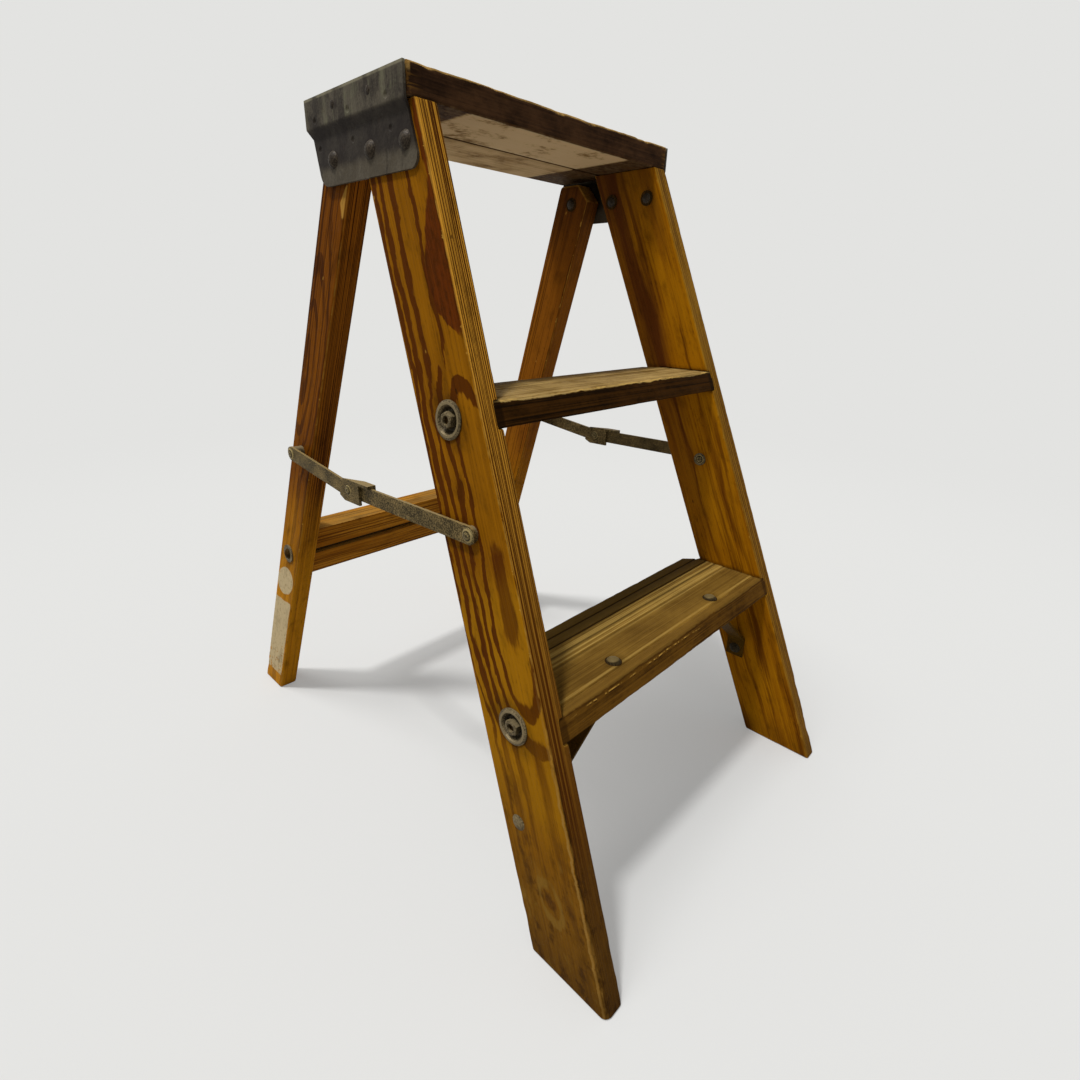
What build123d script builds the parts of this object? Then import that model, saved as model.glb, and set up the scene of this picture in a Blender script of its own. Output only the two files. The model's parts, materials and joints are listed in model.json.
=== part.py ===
from build123d import *
import math
import os

# Folding wooden step stool with two steps and a flat top.
# Millimetres: x across, y from front to back, z up. The feet stand on z = 0,
# and the origin is below the middle of the footprint.

# Overall size
HEIGHT = 610.0
FOOTPRINT_DEPTH = 571.0
FRONT_FOOT_SPREAD = 388.6
REAR_FOOT_SPREAD = 378.0

# Front rails, with their section measured level
RAIL_THICKNESS = 19.0
RAIL_DEPTH = 72.8
RAIL_LEAN_DEG = 22.36
EDGE_ROUND = 1.6

# Steps
STEP_THICKNESS = 18.0
LOWER_STEP_TOP = 200.0
UPPER_STEP_TOP = 406.5
LOWER_STEP_DEPTH = 86.5
UPPER_STEP_DEPTH = 69.3
HOUSING_DEPTH = 6.0
CORNER_CLIP_WIDTH = 14.0
CORNER_CLIP_DEPTH = 13.7
FRONT_GROOVE_SETBACK = 8.5
GRIP_GROOVE_SETBACK = 42.0
GRIP_GROOVE_PITCH = 11.0
GROOVE_WIDTH = 2.4
GROOVE_DEPTH = 1.5
GROOVE_EDGE_MARGIN = 6.0

# Top board
TOP_THICKNESS = 19.2
TOP_LENGTH = 305.4
TOP_DEPTH = 134.5
TOP_SETBACK = 1.7
TOP_OVERHANG = 3.86
RELIEF_WIDTH = 3.6
RELIEF_DEPTH = 4.0

# Rear legs, with their section measured level, and the cross rail between them
LEG_THICKNESS = 20.8
LEG_DEPTH = 42.8
LEG_GAP = 1.8
LEG_CROWN_RISE = 18.0
LEG_CROWN_WIDTH = 23.0
LEG_CROWN_SHIFT = 2.5
LEG_FRONT_SHOULDER = 2.0
LEG_REAR_SHOULDER = 11.0
CROSS_RAIL_THICKNESS = 19.0
CROSS_RAIL_HEIGHT = 63.5
CROSS_RAIL_INSET = 14.0
CROSS_RAIL_MIDDLE = 200.5

# Pressed steel brackets over the ends of the top board
SHEET = 2.0
SHEET_BEND = 2.0
BRACKET_DROP = 60.5
JOG_DROP = 26.0
JOG_HEIGHT = 6.3
FLANGE_SETDOWN = 0.4
FLANGE_INSET = 1.4
PLATE_FRONT_INSET = 6.5
PLATE_REAR_TOP = 30.0
PLATE_REAR_BOTTOM = 17.0
PLATE_FRONT_ROUND = 7.0
PLATE_REAR_ROUND = 14.0
DART_PITCH = 48.5
DART_SHIFT = 3.0
DART_RADIUS = 4.0
DART_DEPTH = 0.9
DART_DROP = 8.0

# Rivets, bolts and washers
HINGE_DROP = 43.5
HINGE_BEHIND_RAIL = 38.1
FRONT_RIVET_INSET = 16.5
BACK_RIVET_INSET = 13.7
SHANK_RADIUS = 3.2
HEAD_RADIUS = 6.3
HEAD_HEIGHT = 3.6
TAIL_RADIUS = 4.6
TAIL_HEIGHT = 1.8
WASHER_RADIUS = 6.6
WASHER_THICKNESS = 1.4
HINGE_WASHER_RADIUS = 9.0
SPOT_DEPTH = 0.7
FIT = 0.05
CLEARANCE = 0.3
NAIL_RADIUS = 1.4
NAIL_HEAD_RADIUS = 2.9
NAIL_HEAD_HEIGHT = 0.8
NAIL_LENGTH = 32.0
NAIL_INSET = 43.0

# Truss rods under the steps and tie rod of the rear frame
ROD_RADIUS = 3.2
ROD_DROP = 16.4
CUP_RADIUS = 14.2
CUP_RIM_HEIGHT = 1.9
CUP_RIM_EDGE = 0.9
CUP_MOUTH_RADIUS = 11.6
CUP_FLOOR_RADIUS = 7.8
CUP_FLOOR_DEPTH = 2.4
CUP_SHEET = 1.5
NUT_FLATS = 11.0
NUT_HEIGHT = 5.6
NUT_CHAMFER = 1.3
ROD_RECESS = 2.2
TIE_WASHER_RADIUS = 10.0
TIE_HEAD_RADIUS = 6.0
TIE_HEAD_HEIGHT = 3.4

# Strap braces of the lower step
BRACE_WIDTH = 19.0
BRACE_SHEET = 2.4
BRACE_BEND = 4.0
BRACE_SETBACK = 16.4
BRACE_BOLT_SPAN = 159.0
BRACE_TAB_END = 11.0
BRACE_TAB_BEND = 12.0
BRACE_FOOT_DROP = 93.5
BRACE_FOOT_RISE = 13.0
BRACE_FOOT_END = 11.0

# Folding spreaders
FRONT_PIVOT_HEIGHT = 315.5
REAR_PIVOT_HEIGHT = 325.0
FRONT_ARM_LENGTH = 158.85
OVER_CENTRE_DROP = 9.0
ARM_WIDTH = 14.0
ARM_SHEET = 2.4
ARM_STANDOFF = 2.0
ARM_GAP = 0.4
END_PLATE_HEIGHT = 18.0
END_PLATE_LENGTH = 17.5
END_PLATE_BACK = 15.0
STOP_LENGTH = 33.0
STOP_TAPER = 16.0
STOP_LIP = 3.0
ARM_RIVET_RADIUS = 2.6
ARM_HEAD_RADIUS = 6.2
ARM_HEAD_HEIGHT = 1.8
MIDDLE_HEAD_RADIUS = 4.6
MIDDLE_HEAD_HEIGHT = 1.4

# Derived positions of the leaning and splayed members
FRONT_Y = -FOOTPRINT_DEPTH / 2
REAR_Y = FOOTPRINT_DEPTH / 2
TOP_UNDER = HEIGHT - TOP_THICKNESS
RAIL_LEAN = math.tan(math.radians(RAIL_LEAN_DEG))
RAIL_SPLAY = (FRONT_FOOT_SPREAD / 2 - TOP_LENGTH / 2 + TOP_OVERHANG) / TOP_UNDER


def rail_front(z):
    """Front face of the rails at height z."""
    return FRONT_Y + RAIL_LEAN * z


def rail_middle(z):
    """Middle of the rails' depth at height z."""
    return rail_front(z) + RAIL_DEPTH / 2


def rail_rear(z):
    """Rear face of the rails at height z."""
    return rail_front(z) + RAIL_DEPTH


def rail_outer(z):
    """Outer face of the right rail at height z."""
    return FRONT_FOOT_SPREAD / 2 - RAIL_SPLAY * z


def rail_inner(z):
    """Inner face of the right rail at height z."""
    return rail_outer(z) - RAIL_THICKNESS


HINGE_Z = HEIGHT - HINGE_DROP
HINGE_Y = rail_rear(HINGE_Z) + HINGE_BEHIND_RAIL
LEG_LEAN = (REAR_Y - LEG_DEPTH / 2 - HINGE_Y) / HINGE_Z
LEG_ANGLE = math.atan(LEG_LEAN)
LEG_SPLAY = (REAR_FOOT_SPREAD / 2 - rail_outer(HINGE_Z) + LEG_GAP) / HINGE_Z


def leg_middle(z):
    """Middle of the legs' depth at height z."""
    return HINGE_Y + LEG_LEAN * (HINGE_Z - z)


def leg_outer(z):
    """Outer face of the right leg at height z."""
    return REAR_FOOT_SPREAD / 2 - LEG_SPLAY * z


def leg_inner(z):
    """Inner face of the right leg at height z."""
    return leg_outer(z) - LEG_THICKNESS


STEPS = [(LOWER_STEP_TOP, LOWER_STEP_DEPTH), (UPPER_STEP_TOP, UPPER_STEP_DEPTH)]
TOP_FRONT = rail_front(TOP_UNDER) + TOP_SETBACK
TOP_REAR = TOP_FRONT + TOP_DEPTH
BRACE_Y = rail_front(LOWER_STEP_TOP) + BRACE_SETBACK
BRACE_FOOT_Z = LOWER_STEP_TOP - BRACE_FOOT_DROP
FRONT_PIVOT = Vector(0, rail_middle(FRONT_PIVOT_HEIGHT), FRONT_PIVOT_HEIGHT)
REAR_PIVOT = Vector(0, leg_middle(REAR_PIVOT_HEIGHT), REAR_PIVOT_HEIGHT)
PIVOT_LINE = (REAR_PIVOT - FRONT_PIVOT).normalized()
PIVOT_DOWN = Vector(0, PIVOT_LINE.Z, -PIVOT_LINE.Y)
MIDDLE_REACH = math.sqrt(FRONT_ARM_LENGTH ** 2 - OVER_CENTRE_DROP ** 2)
MIDDLE_PIVOT = FRONT_PIVOT + PIVOT_LINE * MIDDLE_REACH + PIVOT_DOWN * OVER_CENTRE_DROP
INNER_ARM = rail_outer(FRONT_PIVOT_HEIGHT) + ARM_STANDOFF
OUTER_ARM = INNER_ARM + ARM_SHEET + ARM_GAP
SPREADER_SHIFT = -(INNER_ARM + OUTER_ARM + ARM_SHEET)

# Directions square to the outer faces of the right rail and the right leg
RAIL_OUT = Vector(1, 0, RAIL_SPLAY).normalized()
LEG_OUT = Vector(1, 0, LEG_SPLAY).normalized()


# Shared forms


def across(outline):
    """Solid with the given y-z outline, running through the whole width."""
    face = make_face(Polyline(*[(0, y, z) for y, z in outline], close=True))
    return extrude(face, amount=FRONT_FOOT_SPREAD, dir=(1, 0, 0), both=True)


def along(outline):
    """Solid with the given x-z outline, running through the whole depth."""
    face = make_face(Polyline(*[(x, 0, z) for x, z in outline], close=True))
    return extrude(face, amount=FOOTPRINT_DEPTH, dir=(0, 1, 0), both=True)


def strip(near, far, low, high):
    """Outline between two sloping edges from one height to another."""
    return [(near(low), low), (far(low), low), (far(high), high), (near(high), high)]


def channel(middle, half, low, high):
    """Outline of an upright channel about a middle depth."""
    return [(middle - half, low), (middle + half, low), (middle + half, high), (middle - half, high)]


def pole(start, direction, length, radius):
    """Round bar from a point along a direction."""
    bar = Cylinder(radius, length, align=(Align.CENTER, Align.CENTER, Align.MIN))
    return Plane(origin=start, z_dir=direction).location * bar


def turned(profile):
    """Solid turned about z from a radius and height outline."""
    return revolve(Plane.XZ * make_face(Polyline(*profile, close=True)), Axis.Z)


def dome(radius, height):
    """Low round head that stands on z = 0."""
    ball = (radius ** 2 + height ** 2) / (2 * height)
    half = math.asin(radius / ball) / 2
    crown = (ball * math.sin(half), height - ball + ball * math.cos(half))
    lines = Polyline((0, height), (0, 0), (radius, 0)) + ThreePointArc((radius, 0), crown, (0, height))
    return revolve(Plane.XZ * make_face(lines), Axis.Z)


def ring(outer, inner, height):
    """Flat ring that stands on z = 0."""
    base = (Align.CENTER, Align.CENTER, Align.MIN)
    return Cylinder(outer, height, align=base) - Cylinder(inner, height, align=base)


def placed(solid, origin, direction):
    """Turn a solid's z axis to a direction and move it to a point."""
    return Plane(origin=origin, z_dir=direction).location * solid


def hexagon_nut():
    """Hexagon nut on z = 0 with its outer corners turned off."""
    corner = NUT_FLATS / math.sqrt(3)
    body = extrude(RegularPolygon(NUT_FLATS / 2, 6, major_radius=False), amount=NUT_HEIGHT)
    shoulder = NUT_HEIGHT - NUT_CHAMFER / 2
    crown = corner - NUT_CHAMFER
    shape = turned([(0, 0), (corner, 0), (corner, shoulder), (crown, NUT_HEIGHT), (0, NUT_HEIGHT)])
    bore = Cylinder(ROD_RADIUS + FIT, NUT_HEIGHT, align=(Align.CENTER, Align.CENTER, Align.MIN))
    return (body & shape) - bore


def rounded_board(board):
    """Board with its four long edges eased."""
    return fillet(board.edges().sort_by(SortBy.LENGTH)[-4:], EDGE_ROUND)


def bent_rod(kink, direction, end_length, radius):
    """Rod that lies level between the kinks and turns square to the side boards beyond them."""
    middle = pole((-kink.X, kink.Y, kink.Z), (1, 0, 0), 2 * kink.X, radius)
    end = pole(kink, direction, end_length, radius)
    elbow = Location(kink) * Sphere(radius)
    tip = end + elbow
    return middle + tip + mirror(tip, about=Plane.YZ)


# Hole lines of the rods


def face_distance(gap, splay):
    """Length of a line square to a splayed face that crosses a level gap to it."""
    return gap / math.sqrt(1 + splay ** 2)


def truss_kink(step_top):
    """Point where a truss rod leaves the end of its step and turns into the rail."""
    z = step_top - ROD_DROP
    return Vector(rail_inner(z) + HOUSING_DEPTH, rail_middle(z), z)


TRUSS_REACH = face_distance(RAIL_THICKNESS - HOUSING_DEPTH, RAIL_SPLAY)
TIE_KINK = Vector(leg_inner(CROSS_RAIL_MIDDLE), leg_middle(CROSS_RAIL_MIDDLE), CROSS_RAIL_MIDDLE)
TIE_REACH = face_distance(LEG_THICKNESS, LEG_SPLAY)


def truss_seat(step_top):
    """Point on the rail's outer face where a truss rod comes out."""
    return truss_kink(step_top) + RAIL_OUT * TRUSS_REACH


# Wooden pieces of the front frame


def step_blank(top, depth):
    """Step before grooving: front flush with the rails, ends in their housings, rear corners clipped."""
    bottom = top - STEP_THICKNESS
    rear = rail_front(top) + depth
    side = [(rail_front(bottom), bottom), (rail_front(top), top), (rear, top), (rear, bottom)]
    low = rail_inner(bottom) + HOUSING_DEPTH
    high = rail_inner(top) + HOUSING_DEPTH
    board = across(side) & along([(-low, bottom), (low, bottom), (high, top), (-high, top)])
    wall = rail_inner(top)
    past = wall + RAIL_THICKNESS
    behind = rear + CORNER_CLIP_DEPTH
    corner = [
        (wall - CORNER_CLIP_WIDTH, rear),
        (wall, rear - CORNER_CLIP_DEPTH),
        (past, rear - CORNER_CLIP_DEPTH),
        (past, behind),
        (wall - CORNER_CLIP_WIDTH, behind),
    ]
    face = make_face(Polyline(*[(x, y, bottom) for x, y in corner], close=True))
    clip = extrude(face, amount=STEP_THICKNESS, dir=(0, 0, 1))
    return board - clip - mirror(clip, about=Plane.YZ)


def groove_setbacks(depth):
    """Distances of the tread grooves from the front edge of a step."""
    room = depth - GROOVE_EDGE_MARGIN - GRIP_GROOVE_SETBACK
    count = int(room // GRIP_GROOVE_PITCH) + 1
    return [FRONT_GROOVE_SETBACK] + [GRIP_GROOVE_SETBACK + GRIP_GROOVE_PITCH * i for i in range(count)]


def step(top, depth):
    """Step with tread grooves on top and a channel for its truss rod below."""
    board = step_blank(top, depth)
    for setback in groove_setbacks(depth):
        y = rail_front(top) + setback
        half = GROOVE_WIDTH / 2
        board -= across([(y - half, top), (y, top - GROOVE_DEPTH), (y + half, top)])
    kink = truss_kink(top)
    bore = ROD_RADIUS + CLEARANCE
    bottom = top - STEP_THICKNESS
    board -= pole((-FRONT_FOOT_SPREAD, kink.Y, kink.Z), (1, 0, 0), 2 * FRONT_FOOT_SPREAD, bore)
    return board - across(channel(kink.Y, bore, bottom, kink.Z))


def lower_step():
    """Lower step with the holes of the two brace bolts."""
    board = step(LOWER_STEP_TOP, LOWER_STEP_DEPTH)
    for side in (-1, 1):
        start = (side * BRACE_BOLT_SPAN / 2, BRACE_Y, LOWER_STEP_TOP - STEP_THICKNESS)
        board -= pole(start, (0, 0, 1), STEP_THICKNESS, SHANK_RADIUS + FIT)
    return board


def rail_blank():
    """Right rail before its housings and holes."""
    side = strip(rail_front, rail_rear, 0, TOP_UNDER)
    front = strip(rail_inner, rail_outer, 0, TOP_UNDER)
    return across(side) & along(front)


def bracket_rivet_points():
    """Points on the right rail's outer face where the bracket rivets go through."""
    places = [rail_front(HINGE_Z) + FRONT_RIVET_INSET, rail_rear(HINGE_Z) - BACK_RIVET_INSET]
    return [Vector(rail_outer(HINGE_Z), y, HINGE_Z) for y in places]


def brace_rivet_point():
    """Point on the right rail's outer face where the brace rivet comes out."""
    z = BRACE_FOOT_Z
    return Vector(rail_outer(z), BRACE_Y, z)


def cup_seat():
    """Tapered recess in the rail that takes a cup washer."""
    floor = -CUP_FLOOR_DEPTH - CUP_SHEET - FIT
    floor_radius = CUP_FLOOR_RADIUS + CUP_SHEET / 2
    return turned([(0, floor), (floor_radius, floor), (CUP_MOUTH_RADIUS, FIT), (0, FIT)])


def right_rail():
    """Right rail: housings for the steps, rod holes with cup seats, rivet holes."""
    board = rounded_board(rail_blank())
    for top, depth in STEPS:
        board -= step_blank(top, depth)
        board -= bent_rod(truss_kink(top), RAIL_OUT, RAIL_THICKNESS, ROD_RADIUS + CLEARANCE)
        board -= placed(cup_seat(), truss_seat(top), RAIL_OUT)
    for point in bracket_rivet_points() + [brace_rivet_point()]:
        board -= pole(point + RAIL_OUT, -RAIL_OUT, 2 * RAIL_THICKNESS, SHANK_RADIUS + FIT)
    start = FRONT_PIVOT + Vector(rail_inner(FRONT_PIVOT_HEIGHT) - RAIL_THICKNESS, 0, 0)
    board -= pole(start, (1, 0, 0), 3 * RAIL_THICKNESS, ARM_RIVET_RADIUS + FIT)
    board -= pole(start, (1, 0, 0), RAIL_THICKNESS + SPOT_DEPTH, WASHER_RADIUS + FIT)
    return board


def nail_places():
    """Depths at which the flange nails go into the ends of the top board."""
    return [TOP_FRONT + NAIL_INSET, TOP_REAR - NAIL_INSET]


def top_board():
    """Top board with eased edges, a relief groove below and nail holes in its ends."""
    size = (TOP_LENGTH, TOP_DEPTH, TOP_THICKNESS)
    corner = Vector(0, TOP_FRONT, TOP_UNDER)
    board = Location(corner) * Box(*size, align=(Align.CENTER, Align.MIN, Align.MIN))
    board = rounded_board(board)
    middle = (TOP_FRONT + TOP_REAR) / 2
    board -= across(channel(middle, RELIEF_WIDTH / 2, TOP_UNDER, TOP_UNDER + RELIEF_DEPTH))
    for y in nail_places():
        z = TOP_UNDER + TOP_THICKNESS / 2
        hole = pole((TOP_LENGTH / 2, y, z), (-1, 0, 0), NAIL_LENGTH, NAIL_RADIUS + FIT)
        board -= hole
        board -= mirror(hole, about=Plane.YZ)
    return board


# Steel pieces of the front frame


def bracket_sheet():
    """Right bracket as bent sheet: a plate on the rail, a jog, and a flange over the end of the board."""
    low = HEIGHT - BRACKET_DROP
    jog = HEIGHT - JOG_DROP
    lip = TOP_LENGTH / 2
    path = [
        (rail_outer(low), low),
        (rail_outer(jog), jog),
        (lip, jog + JOG_HEIGHT),
        (lip, HEIGHT - FLANGE_SETDOWN),
    ]
    line = FilletPolyline(*path, radius=SHEET_BEND)
    section = make_face(offset(line, amount=SHEET, side=Side.RIGHT, closed=True))
    sheet = extrude(Plane.XZ * section, amount=FOOTPRINT_DEPTH, both=True)
    return sheet & bracket_outline(low, jog)


def bracket_outline(low, jog):
    """Side outline of the bracket, with a large round at its lower rear corner."""
    shoulder = jog + JOG_HEIGHT
    corners = [
        (TOP_FRONT + FLANGE_INSET, HEIGHT),
        (TOP_REAR - FLANGE_INSET, HEIGHT),
        (TOP_REAR - FLANGE_INSET, shoulder),
        (HINGE_Y + PLATE_REAR_TOP, jog),
        (HINGE_Y + PLATE_REAR_BOTTOM, low),
        (rail_front(low) + PLATE_FRONT_INSET, low),
        (rail_front(jog) + PLATE_FRONT_INSET, jog),
        (TOP_FRONT + FLANGE_INSET, shoulder),
    ]
    plate = across(corners)
    rear_edge = plate.edges().filter_by(Axis.X).sort_by_distance((0, *corners[4]))[0]
    plate = fillet(rear_edge, PLATE_REAR_ROUND)
    front_edge = plate.edges().filter_by(Axis.X).sort_by_distance((0, *corners[5]))[0]
    return fillet(front_edge, PLATE_FRONT_ROUND)


def dart_places():
    """Depths of the three pressed darts of a bracket."""
    middle = (TOP_FRONT + TOP_REAR) / 2 + DART_SHIFT
    return [middle + i * DART_PITCH for i in (-1, 0, 1)]


def right_bracket():
    """Right bracket with pressed darts at the jog, rivet holes and nail holes."""
    sheet = bracket_sheet()
    reach = DART_RADIUS - DART_DEPTH
    flange_z = HEIGHT - JOG_DROP + JOG_HEIGHT + DART_RADIUS
    plate_z = HEIGHT - JOG_DROP - DART_DROP
    for y in dart_places():
        flange_dent = Vector(TOP_LENGTH / 2 + SHEET + reach, y, flange_z)
        plate_dent = Vector(rail_outer(plate_z), y, plate_z) + RAIL_OUT * (SHEET + reach)
        for dent in (flange_dent, plate_dent):
            sheet -= Location(dent) * Sphere(DART_RADIUS)
    for point in bracket_rivet_points():
        sheet -= pole(point - RAIL_OUT, RAIL_OUT, 2 * SHEET, SHANK_RADIUS + FIT)
    hinge = (rail_inner(HINGE_Z), HINGE_Y, HINGE_Z)
    sheet -= pole(hinge, (1, 0, 0), 2 * RAIL_THICKNESS, SHANK_RADIUS + FIT)
    for y in nail_places():
        centre = (TOP_LENGTH / 2 - SHEET, y, TOP_UNDER + TOP_THICKNESS / 2)
        sheet -= pole(centre, (1, 0, 0), 3 * SHEET, NAIL_RADIUS + FIT)
    return sheet


def bracket_rivets():
    """Domed rivets that hold the right bracket on the rail."""
    grip = SHEET + face_distance(RAIL_THICKNESS, RAIL_SPLAY) + WASHER_THICKNESS
    rivet = dome(HEAD_RADIUS, HEAD_HEIGHT) + pole((0, 0, 0), (0, 0, -1), grip, SHANK_RADIUS)
    rivet += placed(dome(TAIL_RADIUS, TAIL_HEIGHT), (0, 0, -grip), (0, 0, -1))
    return [placed(rivet, point + RAIL_OUT * SHEET, RAIL_OUT) for point in bracket_rivet_points()]


def bracket_washers():
    """Washers under the tails of the bracket rivets, on the rail's inner face."""
    depth = face_distance(RAIL_THICKNESS, RAIL_SPLAY)
    washer = ring(WASHER_RADIUS, SHANK_RADIUS + FIT, WASHER_THICKNESS)
    return [placed(washer, point - RAIL_OUT * depth, -RAIL_OUT) for point in bracket_rivet_points()]


def flange_nails():
    """Nails through the right bracket's flange into the end of the top board."""
    nail = dome(NAIL_HEAD_RADIUS, NAIL_HEAD_HEIGHT) + pole((0, 0, 0), (0, 0, -1), NAIL_LENGTH, NAIL_RADIUS)
    z = TOP_UNDER + TOP_THICKNESS / 2
    return [placed(nail, (TOP_LENGTH / 2 + SHEET, y, z), (1, 0, 0)) for y in nail_places()]


def truss_rod(top):
    """Truss rod of a step, its ends inside the nuts."""
    reach = TRUSS_REACH - CUP_FLOOR_DEPTH + NUT_HEIGHT - ROD_RECESS
    return bent_rod(truss_kink(top), RAIL_OUT, reach, ROD_RADIUS)


def cup_washer():
    """Dished washer: a raised rim on the wood and a floor let into it."""
    floor = -CUP_FLOOR_DEPTH
    hole = ROD_RADIUS + CLEARANCE
    rim = CUP_MOUTH_RADIUS + CUP_SHEET / 2
    profile = [
        (CUP_RADIUS, 0),
        (CUP_RADIUS, CUP_RIM_EDGE),
        (rim, CUP_RIM_HEIGHT),
        (CUP_MOUTH_RADIUS - CUP_SHEET / 2, CUP_RIM_HEIGHT),
        (CUP_FLOOR_RADIUS, floor),
        (hole, floor),
        (hole, floor - CUP_SHEET),
        (CUP_FLOOR_RADIUS + CUP_SHEET / 2 - FIT, floor - CUP_SHEET),
        (CUP_MOUTH_RADIUS - FIT, 0),
    ]
    return turned(profile)


def pair(solid):
    """A right-hand solid and its mirror image."""
    return [solid, mirror(solid, about=Plane.YZ)]


def cup_washers(top):
    """Cup washers at both ends of a truss rod."""
    return pair(placed(cup_washer(), truss_seat(top), RAIL_OUT))


def rod_nuts(top):
    """Nuts at both ends of a truss rod, standing in their cup washers."""
    return pair(placed(hexagon_nut(), truss_seat(top) - RAIL_OUT * CUP_FLOOR_DEPTH, RAIL_OUT))


def step_brace():
    """Right strap brace: a tab under the lower step, a slanting web and a foot on the rail."""
    under = LOWER_STEP_TOP - STEP_THICKNESS
    bolt = BRACE_BOLT_SPAN / 2
    knee = BRACE_FOOT_Z + BRACE_FOOT_RISE
    toe = BRACE_FOOT_Z - BRACE_FOOT_END
    path = [
        (bolt - BRACE_TAB_END, under),
        (bolt + BRACE_TAB_BEND, under),
        (rail_inner(knee), knee),
        (rail_inner(toe), toe),
    ]
    line = FilletPolyline(*path, radius=BRACE_BEND)
    section = make_face(offset(line, amount=BRACE_SHEET, side=Side.RIGHT, closed=True))
    strap = Location((0, BRACE_Y, 0)) * extrude(Plane.XZ * section, amount=BRACE_WIDTH / 2, both=True)
    strap -= pole((bolt, BRACE_Y, under), (0, 0, -1), BRACE_SHEET, SHANK_RADIUS + FIT)
    return strap - pole(brace_rivet_point(), -RAIL_OUT, 2 * RAIL_THICKNESS, SHANK_RADIUS + FIT)


def brace_bolts():
    """Round-headed bolts through the lower step and the brace tabs."""
    grip = STEP_THICKNESS + BRACE_SHEET + NUT_HEIGHT
    bolt = dome(HEAD_RADIUS, HEAD_HEIGHT) + pole((0, 0, 0), (0, 0, -1), grip, SHANK_RADIUS)
    return pair(Location((BRACE_BOLT_SPAN / 2, BRACE_Y, LOWER_STEP_TOP)) * bolt)


def brace_nuts():
    """Nuts of the brace bolts, under the brace tabs."""
    under = LOWER_STEP_TOP - STEP_THICKNESS - BRACE_SHEET
    return pair(placed(hexagon_nut(), (BRACE_BOLT_SPAN / 2, BRACE_Y, under), (0, 0, -1)))


def brace_rivets():
    """Rivets through the rails and the feet of the braces."""
    grip = face_distance(RAIL_THICKNESS, RAIL_SPLAY) + BRACE_SHEET
    rivet = dome(HEAD_RADIUS, TAIL_HEIGHT) + pole((0, 0, 0), (0, 0, -1), grip, SHANK_RADIUS)
    rivet += placed(dome(HEAD_RADIUS, HEAD_HEIGHT), (0, 0, -grip), (0, 0, -1))
    return pair(placed(rivet, brace_rivet_point(), RAIL_OUT))


def hinge_inner_seat():
    """Level place of the washer floor that is let into the right leg's inner face at the hinge."""
    return leg_inner(HINGE_Z) + SPOT_DEPTH


def hinge_rivet():
    """Right hinge rivet: its head is seated on the bracket, its shank is the leg's pivot."""
    head_x = rail_outer(HINGE_Z) + SHEET
    tail_x = hinge_inner_seat() - WASHER_THICKNESS - CLEARANCE
    centre = Vector(0, HINGE_Y, HINGE_Z)
    skirt = pole((0, 0, 0), (0, 0, -1), SHEET / 2, HEAD_RADIUS)
    head = placed(dome(HEAD_RADIUS, HEAD_HEIGHT) + skirt, centre + Vector(head_x, 0, 0), (1, 0, 0))
    head -= bracket_sheet()
    shank = pole(centre + Vector(tail_x, 0, 0), (1, 0, 0), head_x - tail_x, SHANK_RADIUS)
    tail = placed(dome(TAIL_RADIUS, TAIL_HEIGHT), centre + Vector(tail_x, 0, 0), (-1, 0, 0))
    return head + shank + tail


# Rear frame


def leg_blank():
    """Right leg before its holes: a slanting board whose top is cut to swing under the top board."""
    half = LEG_DEPTH / 2
    crown = HINGE_Z + LEG_CROWN_RISE
    crown_middle = HINGE_Y + LEG_CROWN_SHIFT
    front_shoulder = HINGE_Z + LEG_FRONT_SHOULDER
    rear_shoulder = HINGE_Z + LEG_REAR_SHOULDER
    side = [
        (leg_middle(0) - half, 0),
        (leg_middle(0) + half, 0),
        (leg_middle(rear_shoulder) + half, rear_shoulder),
        (crown_middle + LEG_CROWN_WIDTH / 2, crown),
        (crown_middle - LEG_CROWN_WIDTH / 2, crown),
        (leg_middle(front_shoulder) - half, front_shoulder),
    ]
    return across(side) & along(strip(leg_inner, leg_outer, 0, HEIGHT))


def right_leg():
    """Right rear leg with its hinge bore, washer seats, spreader hole and tie rod hole."""
    board = rounded_board(leg_blank())
    hinge = Vector(0, HINGE_Y, HINGE_Z)
    inside = hinge + Vector(leg_inner(HINGE_Z) - LEG_THICKNESS, 0, 0)
    outside = hinge + Vector(leg_outer(HINGE_Z) + LEG_THICKNESS, 0, 0)
    board -= pole(inside, (1, 0, 0), 3 * LEG_THICKNESS, SHANK_RADIUS + FIT)
    board -= pole(inside, (1, 0, 0), LEG_THICKNESS + SPOT_DEPTH, WASHER_RADIUS + FIT)
    board -= pole(outside, (-1, 0, 0), LEG_THICKNESS + SPOT_DEPTH, HINGE_WASHER_RADIUS + FIT)
    start = REAR_PIVOT + Vector(leg_inner(REAR_PIVOT_HEIGHT) - LEG_THICKNESS, 0, 0)
    board -= pole(start, (1, 0, 0), 3 * LEG_THICKNESS, ARM_RIVET_RADIUS + FIT)
    board -= pole(start, (1, 0, 0), LEG_THICKNESS + SPOT_DEPTH, WASHER_RADIUS + FIT)
    return board - pole(TIE_KINK - LEG_OUT, LEG_OUT, 2 * LEG_THICKNESS, ROD_RADIUS + CLEARANCE)


def hinge_outer_washer():
    """Thin washer between the right leg and its bracket."""
    washer = ring(HINGE_WASHER_RADIUS, SHANK_RADIUS + FIT, WASHER_THICKNESS)
    return placed(washer, (leg_outer(HINGE_Z) - SPOT_DEPTH, HINGE_Y, HINGE_Z), (1, 0, 0))


def hinge_inner_washer():
    """Washer let into the right leg's inner face under the tail of the hinge rivet."""
    washer = ring(WASHER_RADIUS, SHANK_RADIUS + FIT, WASHER_THICKNESS)
    return placed(washer, (hinge_inner_seat(), HINGE_Y, HINGE_Z), (-1, 0, 0))


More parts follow.
